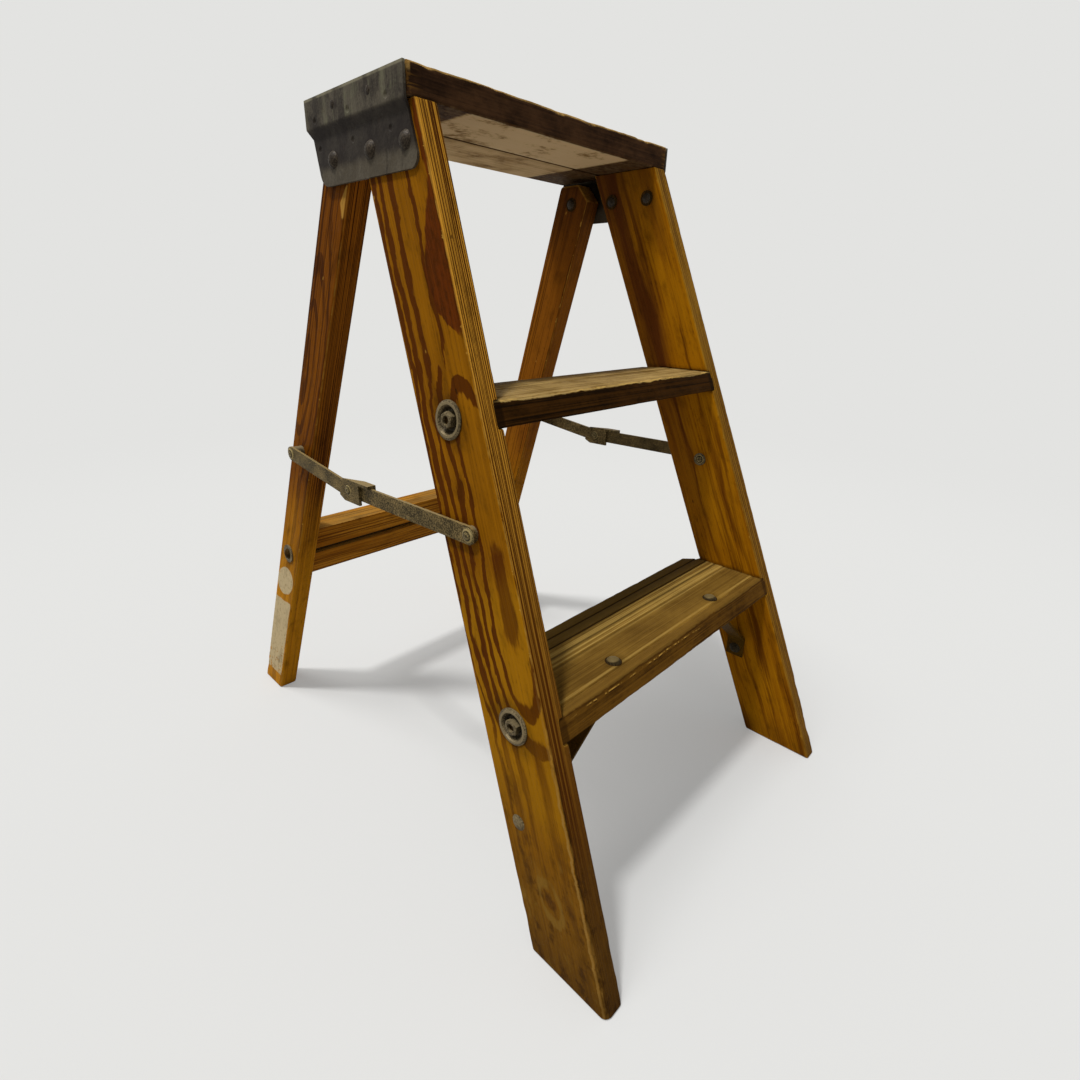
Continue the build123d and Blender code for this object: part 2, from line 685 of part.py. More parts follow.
def cross_rail_point(inset, rise):
    """Point in the plane of the rear frame, by its distance behind the legs' front and along the legs."""
    square = LEG_DEPTH * math.cos(LEG_ANGLE) / 2 - inset
    y = leg_middle(CROSS_RAIL_MIDDLE) - square * math.cos(LEG_ANGLE) - rise * math.sin(LEG_ANGLE)
    z = CROSS_RAIL_MIDDLE - square * math.sin(LEG_ANGLE) + rise * math.cos(LEG_ANGLE)
    return (y, z)


def cross_rail():
    """Board between the legs with a deep groove along its front face for the tie rod."""
    half = CROSS_RAIL_HEIGHT / 2
    back = CROSS_RAIL_INSET + CROSS_RAIL_THICKNESS
    places = [(CROSS_RAIL_INSET, -half), (back, -half), (back, half), (CROSS_RAIL_INSET, half)]
    low = CROSS_RAIL_MIDDLE - CROSS_RAIL_HEIGHT
    high = CROSS_RAIL_MIDDLE + CROSS_RAIL_HEIGHT
    ends = strip(lambda z: -leg_inner(z), leg_inner, low, high)
    board = across([cross_rail_point(*place) for place in places]) & along(ends)
    bore = ROD_RADIUS + CLEARANCE
    mouth = CROSS_RAIL_INSET - bore
    bottom = LEG_DEPTH * math.cos(LEG_ANGLE) / 2
    groove = [(mouth, -bore), (bottom, -bore), (bottom, bore), (mouth, bore)]
    board -= across([cross_rail_point(*place) for place in groove])
    start = TIE_KINK - Vector(FRONT_FOOT_SPREAD, 0, 0)
    return board - pole(start, (1, 0, 0), 2 * FRONT_FOOT_SPREAD, bore)


def tie_rod():
    """Tie rod of the rear frame, its ends headed over on the washers."""
    rod = bent_rod(TIE_KINK, LEG_OUT, TIE_REACH + WASHER_THICKNESS, ROD_RADIUS)
    seat = TIE_KINK + LEG_OUT * (TIE_REACH + WASHER_THICKNESS)
    for head in pair(placed(dome(TIE_HEAD_RADIUS, TIE_HEAD_HEIGHT), seat, LEG_OUT)):
        rod += head
    return rod


def tie_rod_washers():
    """Round washers under the heads of the tie rod."""
    washer = ring(TIE_WASHER_RADIUS, ROD_RADIUS + CLEARANCE, WASHER_THICKNESS)
    return pair(placed(washer, TIE_KINK + LEG_OUT * TIE_REACH, LEG_OUT))


# Spreaders, built for the right side and shifted across for the left


def plate(outline, toward, x):
    """Flat plate from x outwards, drawn from the middle pivot along a direction and square above it."""
    above = Vector(0, -toward.Z, toward.Y) * math.copysign(1, toward.Y)
    centre = MIDDLE_PIVOT + Vector(x, 0, 0)
    points = [centre + toward * reach + above * rise for reach, rise in outline]
    return extrude(make_face(Polyline(*points, close=True)), amount=ARM_SHEET, dir=(1, 0, 0))


def bar(start, end, x):
    """Flat arm with round ends between two pivots, from x outwards."""
    length = (end - start).length
    frame = Plane(origin=start + Vector(x, 0, 0), x_dir=end - start, z_dir=(1, 0, 0))
    shape = frame * (Pos(length / 2, 0) * SlotCenterToCenter(length, ARM_WIDTH))
    return extrude(shape, amount=ARM_SHEET, dir=(1, 0, 0))


def pivot_hole(pivot):
    """Running hole for an arm rivet."""
    return pole(pivot, (1, 0, 0), FRONT_FOOT_SPREAD, ARM_RIVET_RADIUS + FIT)


def front_arm():
    """Front arm of the right spreader, on its outer side."""
    arm = bar(FRONT_PIVOT, MIDDLE_PIVOT, OUTER_ARM)
    return arm - pivot_hole(FRONT_PIVOT) - pivot_hole(MIDDLE_PIVOT)


def stop_flange(toward):
    """Flange over the front arm's upper edge, widening from the rivet, with a lip down the far side."""
    above = Vector(0, -toward.Z, toward.Y) * math.copysign(1, toward.Y)
    top = ARM_WIDTH / 2 + ARM_GAP
    far = OUTER_ARM + ARM_SHEET + ARM_GAP
    edge = far + ARM_SHEET
    plan = [(-STOP_TAPER / 2, INNER_ARM), (STOP_LENGTH, INNER_ARM), (STOP_LENGTH, edge), (STOP_TAPER, edge)]
    points = [MIDDLE_PIVOT + toward * reach + above * top + Vector(x, 0, 0) for reach, x in plan]
    flange = extrude(make_face(Polyline(*points, close=True)), amount=ARM_SHEET, dir=above)
    low = top - STOP_LIP
    lip = plate([(STOP_TAPER, top), (STOP_LENGTH, top), (STOP_LENGTH, low), (STOP_TAPER, low)], toward, far)
    return flange + lip


def rear_arm():
    """Rear arm of the right spreader: a bar, a taller end plate round the rivet and the stop flange."""
    toward = (FRONT_PIVOT - MIDDLE_PIVOT).normalized()
    top = ARM_WIDTH / 2 + ARM_GAP
    bottom = top - END_PLATE_HEIGHT
    outline = [
        (-END_PLATE_BACK, top),
        (END_PLATE_LENGTH, top),
        (END_PLATE_LENGTH, bottom),
        (-END_PLATE_BACK / 2, bottom),
        (-END_PLATE_BACK, -ARM_WIDTH / 2),
    ]
    arm = bar(REAR_PIVOT, MIDDLE_PIVOT, INNER_ARM)
    arm += plate(outline, toward, INNER_ARM)
    arm += stop_flange(toward)
    return arm - pivot_hole(REAR_PIVOT) - pivot_hole(MIDDLE_PIVOT)


def headed_pin(pivot, start, end, head_radius, head_height):
    """Pin along x with a low head beyond its end."""
    pin = pole(pivot + Vector(start, 0, 0), (1, 0, 0), end - start, ARM_RIVET_RADIUS)
    return pin + placed(dome(head_radius, head_height), pivot + Vector(end, 0, 0), (1, 0, 0))


def middle_rivet():
    """Rivet that joins the arms of the right spreader, headed on both sides."""
    start = INNER_ARM - FIT
    end = OUTER_ARM + ARM_SHEET
    pin = headed_pin(MIDDLE_PIVOT, start, end, MIDDLE_HEAD_RADIUS, MIDDLE_HEAD_HEIGHT)
    tail = dome(MIDDLE_HEAD_RADIUS, MIDDLE_HEAD_HEIGHT)
    return pin + placed(tail, MIDDLE_PIVOT + Vector(start, 0, 0), (-1, 0, 0))


def wood_tail(pivot, seat):
    """Headed-over tail of a pivot rivet on the washer that is let into the wood at seat."""
    face = pivot + Vector(seat - WASHER_THICKNESS, 0, 0)
    return placed(dome(TAIL_RADIUS, TAIL_HEIGHT), face, (-1, 0, 0))


def wood_washer(pivot, seat):
    """Washer let into the inner face of a rail or leg at seat."""
    washer = ring(WASHER_RADIUS, ARM_RIVET_RADIUS + FIT, WASHER_THICKNESS)
    return placed(washer, pivot + Vector(seat, 0, 0), (-1, 0, 0))


def spacer(pivot, wood, face, blank):
    """Ring between a wooden face and an arm, its inner end cut to the slope of the wood."""
    start = wood - WASHER_THICKNESS
    tube = ring(HEAD_RADIUS, ARM_RIVET_RADIUS + FIT, face - start)
    return placed(tube, pivot + Vector(start, 0, 0), (1, 0, 0)) - blank


FRONT_SEAT = rail_inner(FRONT_PIVOT_HEIGHT) + SPOT_DEPTH
REAR_SEAT = leg_inner(REAR_PIVOT_HEIGHT) + SPOT_DEPTH


def front_pivot_rivet(arm):
    """Rivet on which a front arm turns, from the rail's inner washer to a head outside the arm."""
    start = FRONT_SEAT - WASHER_THICKNESS
    pin = headed_pin(FRONT_PIVOT, start, arm + ARM_SHEET + FIT, ARM_HEAD_RADIUS, ARM_HEAD_HEIGHT)
    return pin + wood_tail(FRONT_PIVOT, FRONT_SEAT)


def rear_pivot_stud(arm):
    """Part of the rear pivot rivet that stays in the leg, ending just inside the arm."""
    start = REAR_SEAT - WASHER_THICKNESS
    length = arm - CLEARANCE - start
    pin = pole(REAR_PIVOT + Vector(start, 0, 0), (1, 0, 0), length, ARM_RIVET_RADIUS)
    return pin + wood_tail(REAR_PIVOT, REAR_SEAT)


def rear_pivot_rivet(arm):
    """Part of the rear pivot rivet that stays in the arm, with its head outside."""
    return headed_pin(REAR_PIVOT, arm, arm + ARM_SHEET, ARM_HEAD_RADIUS, ARM_HEAD_HEIGHT)


# Files, one for each named piece


def save(name, *solids):
    """Write one piece, or a group of like pieces, to its own file."""
    shape = solids[0] if len(solids) == 1 else Compound(children=list(solids))
    export_step(shape, f"parts/{name}.step")


def save_sides(name, *solids):
    """Write a right-hand piece or group and its left-hand mirror image."""
    save(f"right_{name}", *solids)
    save(f"left_{name}", *[mirror(solid, about=Plane.YZ) for solid in solids])


def save_spreader(name, solid):
    """Write a piece of the right spreader and the same piece shifted to the left one."""
    save(f"right_{name}", solid)
    save(f"left_{name}", Pos(SPREADER_SHIFT, 0, 0) * solid)


def save_pivots(side, front, rear):
    """Write the pivot pieces of one side, with its front and rear arms at the given distances out."""
    rail_face = rail_outer(FRONT_PIVOT_HEIGHT)
    leg_face = leg_outer(REAR_PIVOT_HEIGHT)
    pieces = {
        "front_pivot_rivet": front_pivot_rivet(front),
        "front_pivot_washer": wood_washer(FRONT_PIVOT, FRONT_SEAT),
        "front_pivot_spacer": spacer(FRONT_PIVOT, rail_face, front - FIT, rail_blank()),
        "rear_pivot_stud": rear_pivot_stud(rear),
        "rear_pivot_washer": wood_washer(REAR_PIVOT, REAR_SEAT),
        "rear_pivot_spacer": spacer(REAR_PIVOT, leg_face, rear - CLEARANCE, leg_blank()),
        "rear_pivot_rivet": rear_pivot_rivet(rear),
    }
    for name, solid in pieces.items():
        save(f"{side}_{name}", solid if side == "right" else mirror(solid, about=Plane.YZ))


os.makedirs("parts", exist_ok=True)

save_sides("rail", right_rail())
save("lower_step", lower_step())
save("upper_step", step(UPPER_STEP_TOP, UPPER_STEP_DEPTH))
save("top_board", top_board())
save_sides("bracket", right_bracket())
save_sides("bracket_rivets", *bracket_rivets())
save_sides("bracket_washers", *bracket_washers())
save_sides("flange_nails", *flange_nails())
for place, step_top in (("lower", LOWER_STEP_TOP), ("upper", UPPER_STEP_TOP)):
    save(f"{place}_truss_rod", truss_rod(step_top))
    save(f"{place}_cup_washers", *cup_washers(step_top))
    save(f"{place}_rod_nuts", *rod_nuts(step_top))
save_sides("step_brace", step_brace())
save("brace_bolts", *brace_bolts())
save("brace_nuts", *brace_nuts())
save("brace_rivets", *brace_rivets())
save_sides("hinge_rivet", hinge_rivet())

save_sides("rear_leg", right_leg())
save("rear_cross_rail", cross_rail())
save("rear_tie_rod", tie_rod())
save("tie_rod_washers", *tie_rod_washers())
save("hinge_outer_washers", *pair(hinge_outer_washer()))
save("hinge_inner_washers", *pair(hinge_inner_washer()))

save_spreader("front_arm", front_arm())
save_spreader("rear_arm", rear_arm())
save_spreader("middle_rivet", middle_rivet())
save_pivots("right", OUTER_ARM, INNER_ARM)
save_pivots("left", INNER_ARM, OUTER_ARM)
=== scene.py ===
import json
import math
from typing import NamedTuple

import bpy
import numpy as np
from mathutils import Matrix, Vector


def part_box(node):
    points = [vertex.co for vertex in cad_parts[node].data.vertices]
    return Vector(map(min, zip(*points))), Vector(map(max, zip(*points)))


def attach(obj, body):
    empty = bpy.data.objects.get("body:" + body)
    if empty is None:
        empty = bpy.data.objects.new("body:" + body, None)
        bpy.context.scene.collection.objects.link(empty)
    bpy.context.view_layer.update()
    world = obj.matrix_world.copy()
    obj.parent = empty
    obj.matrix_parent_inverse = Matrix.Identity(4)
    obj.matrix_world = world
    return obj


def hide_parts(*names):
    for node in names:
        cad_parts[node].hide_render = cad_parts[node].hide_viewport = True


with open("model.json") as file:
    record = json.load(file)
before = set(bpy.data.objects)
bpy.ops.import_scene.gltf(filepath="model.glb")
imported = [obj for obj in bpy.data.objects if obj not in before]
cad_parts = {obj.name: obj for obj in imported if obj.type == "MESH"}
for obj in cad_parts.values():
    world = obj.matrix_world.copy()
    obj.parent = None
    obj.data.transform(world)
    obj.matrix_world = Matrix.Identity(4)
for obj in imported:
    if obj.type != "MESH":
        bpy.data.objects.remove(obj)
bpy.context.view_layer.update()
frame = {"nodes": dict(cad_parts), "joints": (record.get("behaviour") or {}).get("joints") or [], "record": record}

# Camera, in metres and radians
EYE = Vector((-0.42151, -0.41348, 0.47015))
YAW = -0.7936
PITCH = -0.3858
ROLL = 0.0196
LENS = 19.504
SENSOR = 36.0
SHIFT_X = 0.0191
SHIFT_Y = -0.0022
CLIP_START = 0.01

# Light and floor
SUN_TRAVEL = Vector((0.36, -0.09, -1.0))
SUN_STRENGTH = 1.88
SUN_SOFTNESS = math.radians(6)
FILL_TRAVEL = Vector((0.3, -0.3, -1.0))
FILL_STRENGTH = 1.05
FILL_SOFTNESS = math.radians(22)
ROOM_STRENGTH = 0.3
FLOOR_HAZE = 0.32
FLOOR_FADE = (0.75, 2.0)
FLOOR_SIZE = 40.0
FLOOR_ROUGHNESS = 0.9

# Lines of the boards, in millimetres
MM = 1000.0
TENTH = 1
HUNDREDTH = 2


def corners(node):
    """Lowest and highest corner of a CAD piece, to a tenth of a millimetre."""
    return [[round(value * MM, TENTH) for value in corner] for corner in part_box(node)]


def hinge():
    """Depth and height of the rivets that the rear frame swings on."""
    fold = next(joint for joint in frame["joints"] if joint["name"] == "rear_frame_fold")
    return [round(value * MM, HUNDREDTH) for value in fold["pos_m"][1:]]


RAIL_LOW, RAIL_HIGH = corners("right_rail")
TOP_LOW, TOP_HIGH = corners("top_board")
LOWER_LOW, LOWER_HIGH = corners("lower_step")
UPPER_LOW, UPPER_HIGH = corners("upper_step")
FRONT_FOOT = RAIL_LOW[1]
HALF_SPREAD = RAIL_HIGH[0]
RAIL_LEAN = math.tan(math.radians(22.36))
RAIL_SPLAY = 0.076946
RAIL_DEPTH = 72.8
RAIL_THICKNESS = 19.0
HINGE_Y, HINGE_Z = hinge()
LEG_LEAN = 0.36306
LEG_SPLAY = 0.070768
LEG_HALF_SPREAD = corners("right_rear_leg")[1][0]
LEG_DEPTH = 42.8
LEG_THICKNESS = 20.8
HEIGHT = TOP_HIGH[2]
TOP_UNDER = TOP_LOW[2]
TOP_FRONT = TOP_LOW[1]
TOP_DEPTH = round(TOP_HIGH[1] - TOP_LOW[1], TENTH)
TOP_LENGTH = round(TOP_HIGH[0] - TOP_LOW[0], TENTH)
LOWER_TREAD = LOWER_HIGH[2]
UPPER_TREAD = UPPER_HIGH[2]
STEP_THICKNESS = LOWER_HIGH[2] - LOWER_LOW[2]
STEP_LEAN = STEP_THICKNESS * RAIL_LEAN
LOWER_DEPTH = round(LOWER_HIGH[1] - LOWER_LOW[1] - STEP_LEAN, TENTH)
UPPER_DEPTH = round(UPPER_HIGH[1] - UPPER_LOW[1] - STEP_LEAN, TENTH)
FRONT_GROOVE = 8.5
FIRST_GRIP_GROOVE = 42.0
GRIP_PITCH = 11.0
GRIP_GROOVES = 4
GROOVE_EDGE = (0.9, 1.3)
BOLT_REACH = 79.5
BOLT_SETBACK = 16.4
BOLT_RIM = 6.2

# Figure of the left rail, in millimetres
HEART_HEIGHT = 288
HEART_SETBACK = 14
LOOP_ABOVE = 130
LOOP_BELOW = 88
LOOP_PULL = 18
LOOP_LIMIT = 31
LOWER_BANDS = ((18, 1.5), (29, 1.9), (39, 1.3), (48, 2.2), (56, 1.1))
UPPER_BANDS = ((25, 0.9), (47, 2.6), (59, 2.3), (67, 1.5))
BAND_SOFT = 1.8
BAND_CRISP = 1.0
KNOT_HEIGHT = 60
KNOT_SETBACK = 36
PATCH_FOOT = (446, 454)
PATCH_SPREAD = (444, 464)
PATCH_TAPER = (486, 552)
PATCH_WIDTH = 24
PATCH_TIP = 20

# Marks of the other boards, in millimetres
LEG_HEART_SETBACK = 34
LEG_HEART_HEIGHT = 405
NOTCH_HEIGHT = 538
PAPER_HEIGHT = 78
PAPER_SETBACK = 23
OVAL_HEIGHT = 163
OVAL_RADIUS = 19
OBLONG_LEFT = 3
OBLONG_SETBACK = 34
CORNER_REACH = (138, 150)
TORN_LEFT = 60

# Heights of the bracket's parts, in millimetres
FLANGE_FOOT = (588, 592)
# heights of the flange's shadow painted on the plate
FLANGE_SHADOW_FOOT = (558, 566)
FLANGE_SHADOW_HEAD = (588, 591)
RUBBED_HEAD = (562, 568)
FLANGE_RIM = (607.4, 608.4)


class Waves(NamedTuple):
    """Noise: its wave along, across and through a piece in millimetres, its draw and its detail."""
    along: float
    across: float
    through: float
    draw: float
    detail: float = 2.0
    rough: float = 0.5


# Grain and wear of a varnished board
FIBRES = Waves(60, 0.9, 0.9, 0, 3.0, 0.6)
GRAIN = Waves(170, 2.3, 2.3, 10, 3.0, 0.65)
MOTTLE = Waves(9, 5, 5, 11, 4.0, 0.7)
CLOUD = Waves(110, 34, 34, 2, 3.0)
EDGE_SWAY = Waves(140, 40, 1, 3)
EDGE_LINES = Waves(420, 0.9, 1, 4, 2.0, 0.6)
PORES = Waves(8, 0.45, 0.45, 4, 1.0)
GRIME = Waves(30, 17, 17, 5, 4.0, 0.62)
SCUFFS = Waves(30, 1.3, 9, 6, 1.0)
DENTS = Waves(24, 15, 15, 7)
NICKS = Waves(33, 13, 13, 8)
BROKEN_VARNISH = Waves(22, 40, 40, 9, 3.0, 0.65)
FRAYED_VARNISH = Waves(9, 30, 30, 12, 4.0, 0.7)

# Streaks, bands, fine grain, mottle, clouds, rags and sweeps of a tread or the top, and its pores
TREAD_WAVES = (
    Waves(75, 0.9, 0.9, 0, 3.0, 0.62),
    Waves(460, 2.1, 2.6, 1, 1.5, 0.6),
    Waves(300, 1.4, 1.4, 7, 3.0, 0.68),
    Waves(7, 4, 4, 8, 4.0, 0.7),
    Waves(45, 26, 20, 2, 4.0, 0.58),
    Waves(9, 9, 9, 4, 4.0, 0.7),
    Waves(65, 70, 70, 5, 2.0),
)
TREAD_PORES = PORES._replace(draw=6)


def tone(red, green, blue):
    """Colour for a socket from the screen values of a tone."""
    shares = [value / 255 for value in (red, green, blue)]
    light = [((s + 0.055) / 1.055) ** 2.4 if s > 0.04045 else s / 12.92 for s in shares]
    return (*light, 1.0)


# Tones of the left rail
AMBER = ((152, 98, 11), (122, 76, 8), (78, 35, 5))
AMBER_EDGE = ((212, 151, 50), (85, 44, 8))
AMBER_DIRT = (50, 28, 6)
RED_PATCH = ((92, 38, 9), (66, 26, 7))
GOLDEN = (172, 122, 16)
FOOT_OLIVE = (98, 70, 23)
FOOT_BROWN = (60, 36, 11)
FOOT_PALE = (136, 104, 42)
# painted shade: dark line on the front side of the worn arris at the foot
ARRIS_PAINTED_SHADE = (52, 31, 9)
ARRIS_PALE = (158, 122, 62)
BARE_FOOT = (140, 102, 42)
BARE_AMBER = (182, 136, 54)

# Tones of the right rail
HONEY = ((184, 122, 12), (156, 96, 9), (98, 50, 8))
HONEY_EDGE = ((180, 130, 40), (92, 54, 10))
# painted shade over the rear of the right rail
HONEY_REAR_SHADE = (92, 49, 24)
# painted shade under the top board
HONEY_SHADE_UNDER_TOP = (64, 34, 20)
HONEY_DIRT = (60, 31, 6)
BARE_HONEY = (182, 134, 46)

# Tones of the rear frame
RUSSET = ((130, 75, 10), (104, 56, 8), (60, 28, 5))
RUSSET_EDGE = ((150, 90, 22), (74, 37, 8))
RUSSET_RIGHT = (164, 100, 28)
# painted shade under the top board
RUSSET_SHADE_UNDER_TOP = (60, 32, 18)
RUSSET_FOOT = (204, 138, 22)
RUSSET_NOTCH = (190, 142, 62)
RUSSET_DIRT = (48, 24, 5)
BARE_RUSSET = (184, 136, 58)
PAPER = ((196, 176, 136), (154, 130, 90), (112, 80, 40))
CROSS = ((186, 124, 36), (150, 92, 20), (84, 42, 8))
CROSS_RUBBED = (150, 116, 58)
CROSS_DIRT = (56, 30, 8)

# Tones of the treads: pale, tan, brown and dark tops, then varnish, shade and splinters of the fronts
LOWER_PALE = (190, 155, 80)
LOWER_TAN = (140, 106, 44)
LOWER_BROWN = (94, 67, 24)
LOWER_DARK = (46, 29, 10)
LOWER_HOLLOW = (104, 76, 30)
LOWER_NOSE = (104, 75, 29)
LOWER_REAR = (104, 80, 36)
LOWER_FRONT = ((112, 76, 24), (60, 36, 10), (214, 166, 76))
UPPER_PALE = (180, 150, 92)
UPPER_TAN = (111, 84, 39)
UPPER_DARK = (48, 30, 11)
UPPER_REAR = (84, 60, 24)
UPPER_FRONT = ((66, 40, 12), (25, 14, 4), (198, 162, 90))

# Tones of the top board
TOP_TAN = ((158, 128, 74), (104, 76, 35))
TOP_DARK = (54, 33, 12)
TOP_EDGE = ((92, 64, 42), (39, 26, 19))
TOP_RAW = ((206, 178, 134), (160, 130, 86))
TOP_VARNISH = (54, 31, 13)
TOP_OBLONG = (206, 180, 140)
TOP_SMUDGE = (100, 73, 42)
# painted shade in the groove under the top
TOP_GROOVE_SHADE = (36, 23, 12)
TOP_RIM = (186, 148, 84)
TOP_CORNER = (150, 108, 50)

# Tones of the steel: pale, middle and dark
ZINC = ((136, 120, 88), (82, 71, 50), (27, 22, 14))
RIVET = ((80, 70, 57), (46, 39, 31), (21, 17, 12))
OLIVE = ((146, 124, 80), (70, 60, 38), (27, 22, 12))
TARNISH = ((112, 95, 60), (84, 70, 41), (36, 27, 14))
BROWN = ((74, 54, 26), (50, 35, 15), (22, 15, 7))
SMOKY = ((104, 76, 24), (76, 53, 15), (38, 26, 8))
RINGED = ((172, 152, 102), (98, 86, 56), (32, 26, 15))
SHEET = ((90, 83, 70), (48, 42, 36))
SHEET_PALE = (118, 115, 92)
SHEET_DARK = (30, 25, 22)
# painted shadow of the flange
SHEET_FLANGE_SHADOW = (34, 28, 25)
SHEET_RUBBED = (98, 89, 72)
SHEET_RUSTY = (62, 43, 26)
SHEET_RIM = (146, 140, 116)

# Tones of the studio
BACKDROP = (227, 227, 225)
FLOOR = (216, 216, 214)
FLOOR_BOUNCE = (172, 168, 160)
ROOM_WHITE = (255, 255, 255)


def sum_method(operation, swapped=False):
    """A method of a wire that adds the node of one sum."""

    def method(wire, *others):
        values = (*others, wire) if swapped else (wire, *others)
        return wire.paint.node("ShaderNodeMath", {"operation": operation}, dict(enumerate(values)))

    return method


class Wire:
    """An output of a finish's nodes. Sums with it add more nodes."""

    __add__ = __radd__ = sum_method("ADD")
    __sub__ = sum_method("SUBTRACT")
    __rsub__ = sum_method("SUBTRACT", swapped=True)
    __mul__ = __rmul__ = sum_method("MULTIPLY")
    __truediv__ = sum_method("DIVIDE")
    __pow__ = sum_method("POWER")
    __abs__ = sum_method("ABSOLUTE")
    least = sum_method("MINIMUM")
    most = sum_method("MAXIMUM")
    fraction = sum_method("FRACT")
    root = sum_method("SQRT")

    def __init__(self, paint, socket):
        self.paint = paint
        self.socket = socket

    def rise(self, low, high):
        """Soft step from 0 at low to 1 at high."""
        sockets = {"Value": self, "From Min": low, "From Max": high}
        return self.paint.node("ShaderNodeMapRange", {"interpolation_type": "SMOOTHSTEP"}, sockets)

    def fall(self, low, high):
        """Soft step from 1 at low to 0 at high."""
        return 1 - self.rise(low, high)

    def hump(self, middle, half, soft):
        """1 within half of a middle value, fading out over soft."""
        return abs(self - middle).fall(half, half + soft)

    def output(self, name):
        """Another output of the same node."""
        return Wire(self.paint, self.socket.node.outputs[name])


class Nodes:
    """The nodes of a finish or of the room."""

    def __init__(self, tree):
        self.tree = tree

    def node(self, kind, settings, sockets, output=0):
        """Add a node: settings first, then the value or link of each socket."""
        made = self.tree.nodes.new(kind)
        for key, value in settings.items():
            setattr(made, key, value)
        for key, value in sockets.items():
            self.plug(made.inputs[key], value)
        return Wire(self, made.outputs[output])

    def plug(self, socket, value):
        """Give a socket a link, a tone or a number."""
        if isinstance(value, Wire):
            self.tree.links.new(value.socket, socket)
        else:
            socket.default_value = tone(*value) if isinstance(value, tuple) else value


class Paint(Nodes):
    """One finish."""

    def __init__(self, name, specular=0.01):
        self.material = bpy.data.materials.new(name)
        self.material.use_nodes = True
        super().__init__(self.material.node_tree)
        self.shader = self.tree.nodes["Principled BSDF"]
        self.shader.inputs["Specular IOR Level"].default_value = specular

    def place(self):
        """Where a point lies on the open stool: x, y and z in millimetres."""
        point = self.node("ShaderNodeTexCoord", {}, {}, "Object")
        parts = self.node("ShaderNodeSeparateXYZ", {}, {"Vector": point})
        return parts * MM, parts.output("Y") * MM, parts.output("Z") * MM

    def facing(self):
        """How far a face looks up, from -1 to 1, on the open stool."""
        normal = self.node("ShaderNodeTexCoord", {}, {}, "Normal")
        return self.node("ShaderNodeSeparateXYZ", {}, {"Vector": normal}, "Z")

    def spot(self, place, waves):
        """A place counted in waves."""
        parts = [part / length for part, length in zip(place, waves)]
        return self.node("ShaderNodeCombineXYZ", {}, dict(enumerate(parts)))

    def ripple(self, place, waves, draw=0.0):
        """Smooth noise about 0."""
        sockets = {"Vector": self.spot(place, waves), "W": draw + waves.draw, "Scale": 1.0}
        sockets.update({"Detail": waves.detail, "Roughness": waves.rough})
        return self.node("ShaderNodeTexNoise", {"noise_dimensions": "4D"}, sockets) * 2 - 1

    def specks(self, place, waves, draw, size=0.08):
        """Scattered round marks, one to each wave, as large as a share of it."""
        sockets = {"Vector": self.spot(place, waves), "W": draw + waves.draw, "Scale": 1.0}
        away = self.node("ShaderNodeTexVoronoi", {"voronoi_dimensions": "4D"}, sockets)
        return away.fall(size * 0.6, size)

    def mix(self, first, second, share):
        """Blend two colours."""
        return self.node("ShaderNodeMix", {"data_type": "RGBA"}, {0: share, 6: first, 7: second}, 2)

    def ground(self, first, second, share):
        """Start the colour of the finish with a blend."""
        self.colour = self.mix(first, second, share)

    def over(self, tone, share):
        """Lay a tone over a share of the colour."""
        self.colour = self.mix(self.colour, tone, share)

    def bump(self, height, distance):
        """Surface relief from a height of 0 to 1 and its depth in millimetres."""
        return self.node("ShaderNodeBump", {}, {"Height": height, "Distance": distance / MM})

    def finish(self, **sockets):
        """Link the colour and the other sockets to the shader."""
        self.plug(self.shader.inputs["Base Color"], self.colour)
        for name, value in sockets.items():
            self.plug(self.shader.inputs[name.title()], value)
        return self.material


def distance(*steps):
    """Length of the line that steps at right angles make."""
    first, second = (step * step for step in steps)
    return (first + second).root()


# Varnished boards


def rail_lines(paint):
    """Height, distance behind the front edge and depth below the outer face, for a rail."""
    x, y, z = paint.place()
    setback = y - z * RAIL_LEAN - FRONT_FOOT
    inset = HALF_SPREAD - z * RAIL_SPLAY - abs(x)
    return z, setback, inset


def leg_lines(paint):
    """Height, distance behind the front edge and depth below the outer face, for a leg."""
    x, y, z = paint.place()
    setback = y + (z - HINGE_Z) * LEG_LEAN - HINGE_Y + LEG_DEPTH / 2
    inset = LEG_HALF_SPREAD - z * LEG_SPLAY - abs(x)
    return z, setback, inset


def late_wood(paint, ring, along, across, start=0.2):
    """Dark late wood of growth rings: it comes on softly, stops short and swells here and there."""
    swell = paint.ripple((along, across, 0.0), Waves(50, 16, 1, 90)) * 0.34
    turn = ring.fraction()
    return (turn + swell).rise(start, start + 0.16) * turn.fall(0.63, 0.68)


def bands(width, swell, lines):
    """Dark late wood at set distances from the heart of a figure, soft on one side."""
    dark = 0.0
    for middle, half in lines:
        start = (width + swell - middle).rise(-half - BAND_SOFT, -half)
        line = start * (width - middle).fall(half, half + BAND_CRISP)
        dark = line.most(dark)
    return dark


def edge_lines(paint, along, inset, draw):
    """Straight lines of the rings on the narrow faces of a board."""
    sway = paint.ripple((along, inset, 0.0), EDGE_SWAY, draw) * 1.2
    return paint.ripple((along, inset + sway, 0.0), EDGE_LINES, draw).rise(-0.14, 0.2)


def pores(paint, place, waves, draw):
    """Short dark dashes along the grain."""
    return paint.ripple(place, waves, draw).rise(0.32, 0.6)


